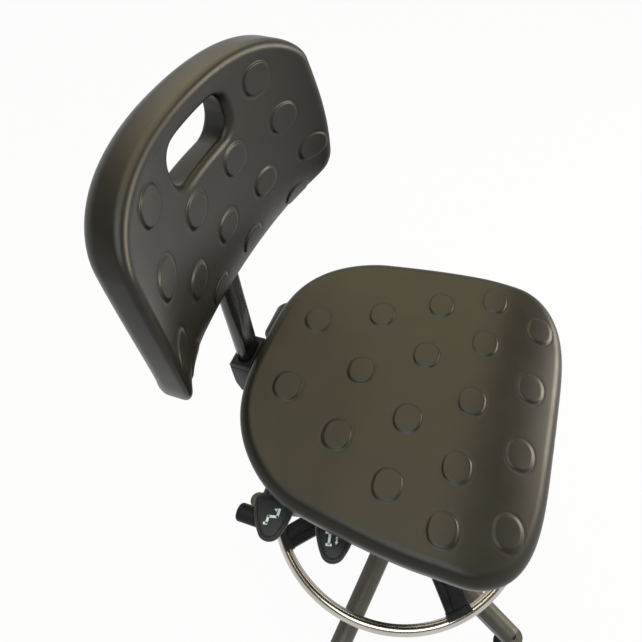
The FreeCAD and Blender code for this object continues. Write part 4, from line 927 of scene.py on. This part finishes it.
def build_world():
    """A room that is white round the horizon and dim overhead."""
    world = bpy.data.worlds.new("studio")
    bpy.context.scene.world = world
    world.use_nodes = True
    tree = world.node_tree
    lit = tree.nodes["Background"]
    lit.inputs["Strength"].default_value = ROOM_STRENGTH
    way = tree.nodes.new("ShaderNodeTexCoord")
    split = tree.nodes.new("ShaderNodeSeparateXYZ")
    tree.links.new(way.outputs["Generated"], split.inputs[0])
    shown = tree.nodes.new("ShaderNodeBackground")
    for background, stops in ((lit, ROOM_LIGHT), (shown, BACKDROP)):
        ramp = tree.nodes.new("ShaderNodeValToRGB")
        while len(ramp.color_ramp.elements) < len(stops):
            ramp.color_ramp.elements.new(0.5)
        for element, (position, colour) in zip(ramp.color_ramp.elements, stops):
            element.position = position
            element.color = (*colour, 1.0)
        tree.links.new(split.outputs["Z"], ramp.inputs["Fac"])
        tree.links.new(ramp.outputs["Color"], background.inputs["Color"])
    output = tree.nodes["World Output"]
    tree.links.new(background_mix(tree, shown.outputs[0], lit.outputs[0]), output.inputs["Surface"])


def build_floor():
    """A pale floor that is nearly white to the camera and keeps the chair's shadow."""
    half = FLOOR_HALF
    corners = [(-half, -half, 0), (half, -half, 0), (half, half, 0), (-half, half, 0)]
    mesh = bpy.data.meshes.new("floor")
    mesh.from_pydata(corners, [], [(0, 1, 2, 3)])
    floor = bpy.data.objects.new("floor", mesh)
    bpy.context.scene.collection.objects.link(floor)
    material = bpy.data.materials.new("pale_floor")
    material.use_nodes = True
    tree = material.node_tree
    matte = tree.nodes["Principled BSDF"]
    matte.inputs["Base Color"].default_value = FLOOR_COLOUR
    matte.inputs["Roughness"].default_value = 0.9
    matte.inputs["Specular IOR Level"].default_value = 0.1
    bright = tree.nodes.new("ShaderNodeEmission")
    bright.inputs["Strength"].default_value = 1.0
    blend = tree.nodes.new("ShaderNodeMixShader")
    blend.inputs[0].default_value = FLOOR_WHITE_SHARE
    tree.links.new(matte.outputs[0], blend.inputs[1])
    tree.links.new(bright.outputs[0], blend.inputs[2])
    output = tree.nodes["Material Output"]
    tree.links.new(background_mix(tree, blend.outputs[0], matte.outputs[0]), output.inputs["Surface"])
    mesh.materials.append(material)


def build_lights():
    """A warm ceiling lamp, a low warm window in front, and a cool skylight above the near side."""
    area_light("ceiling", (1.2, 0.35, 2.7), (0.0, 0.0, 0.6), 2.2, 2.2, 44, (1.0, 0.86, 0.54))
    area_light("window", (1.6, -2.4, 1.35), (0.0, -0.1, 0.65), 1.2, 1.4, 76, (1.0, 0.90, 0.72))
    area_light("skylight", (-0.6, -0.2, 2.9), (0.0, 0.0, 0.7), 1.7, 1.7, 36, (0.90, 0.97, 1.0))


def write_size():
    """Bring the scene's placements up to date."""
    bpy.context.view_layer.update()


build_seat_cushion()
build_back_cushion()
build_ring_tube()
for lever in PADDLE_PLACES:
    build_paddle(lever)
    build_sign(lever)
build_tilt_sleeve()
dress_nodes()
build_camera()
build_world()
build_floor()
build_lights()
bpy.context.scene.view_settings.view_transform = "Standard"
write_size()
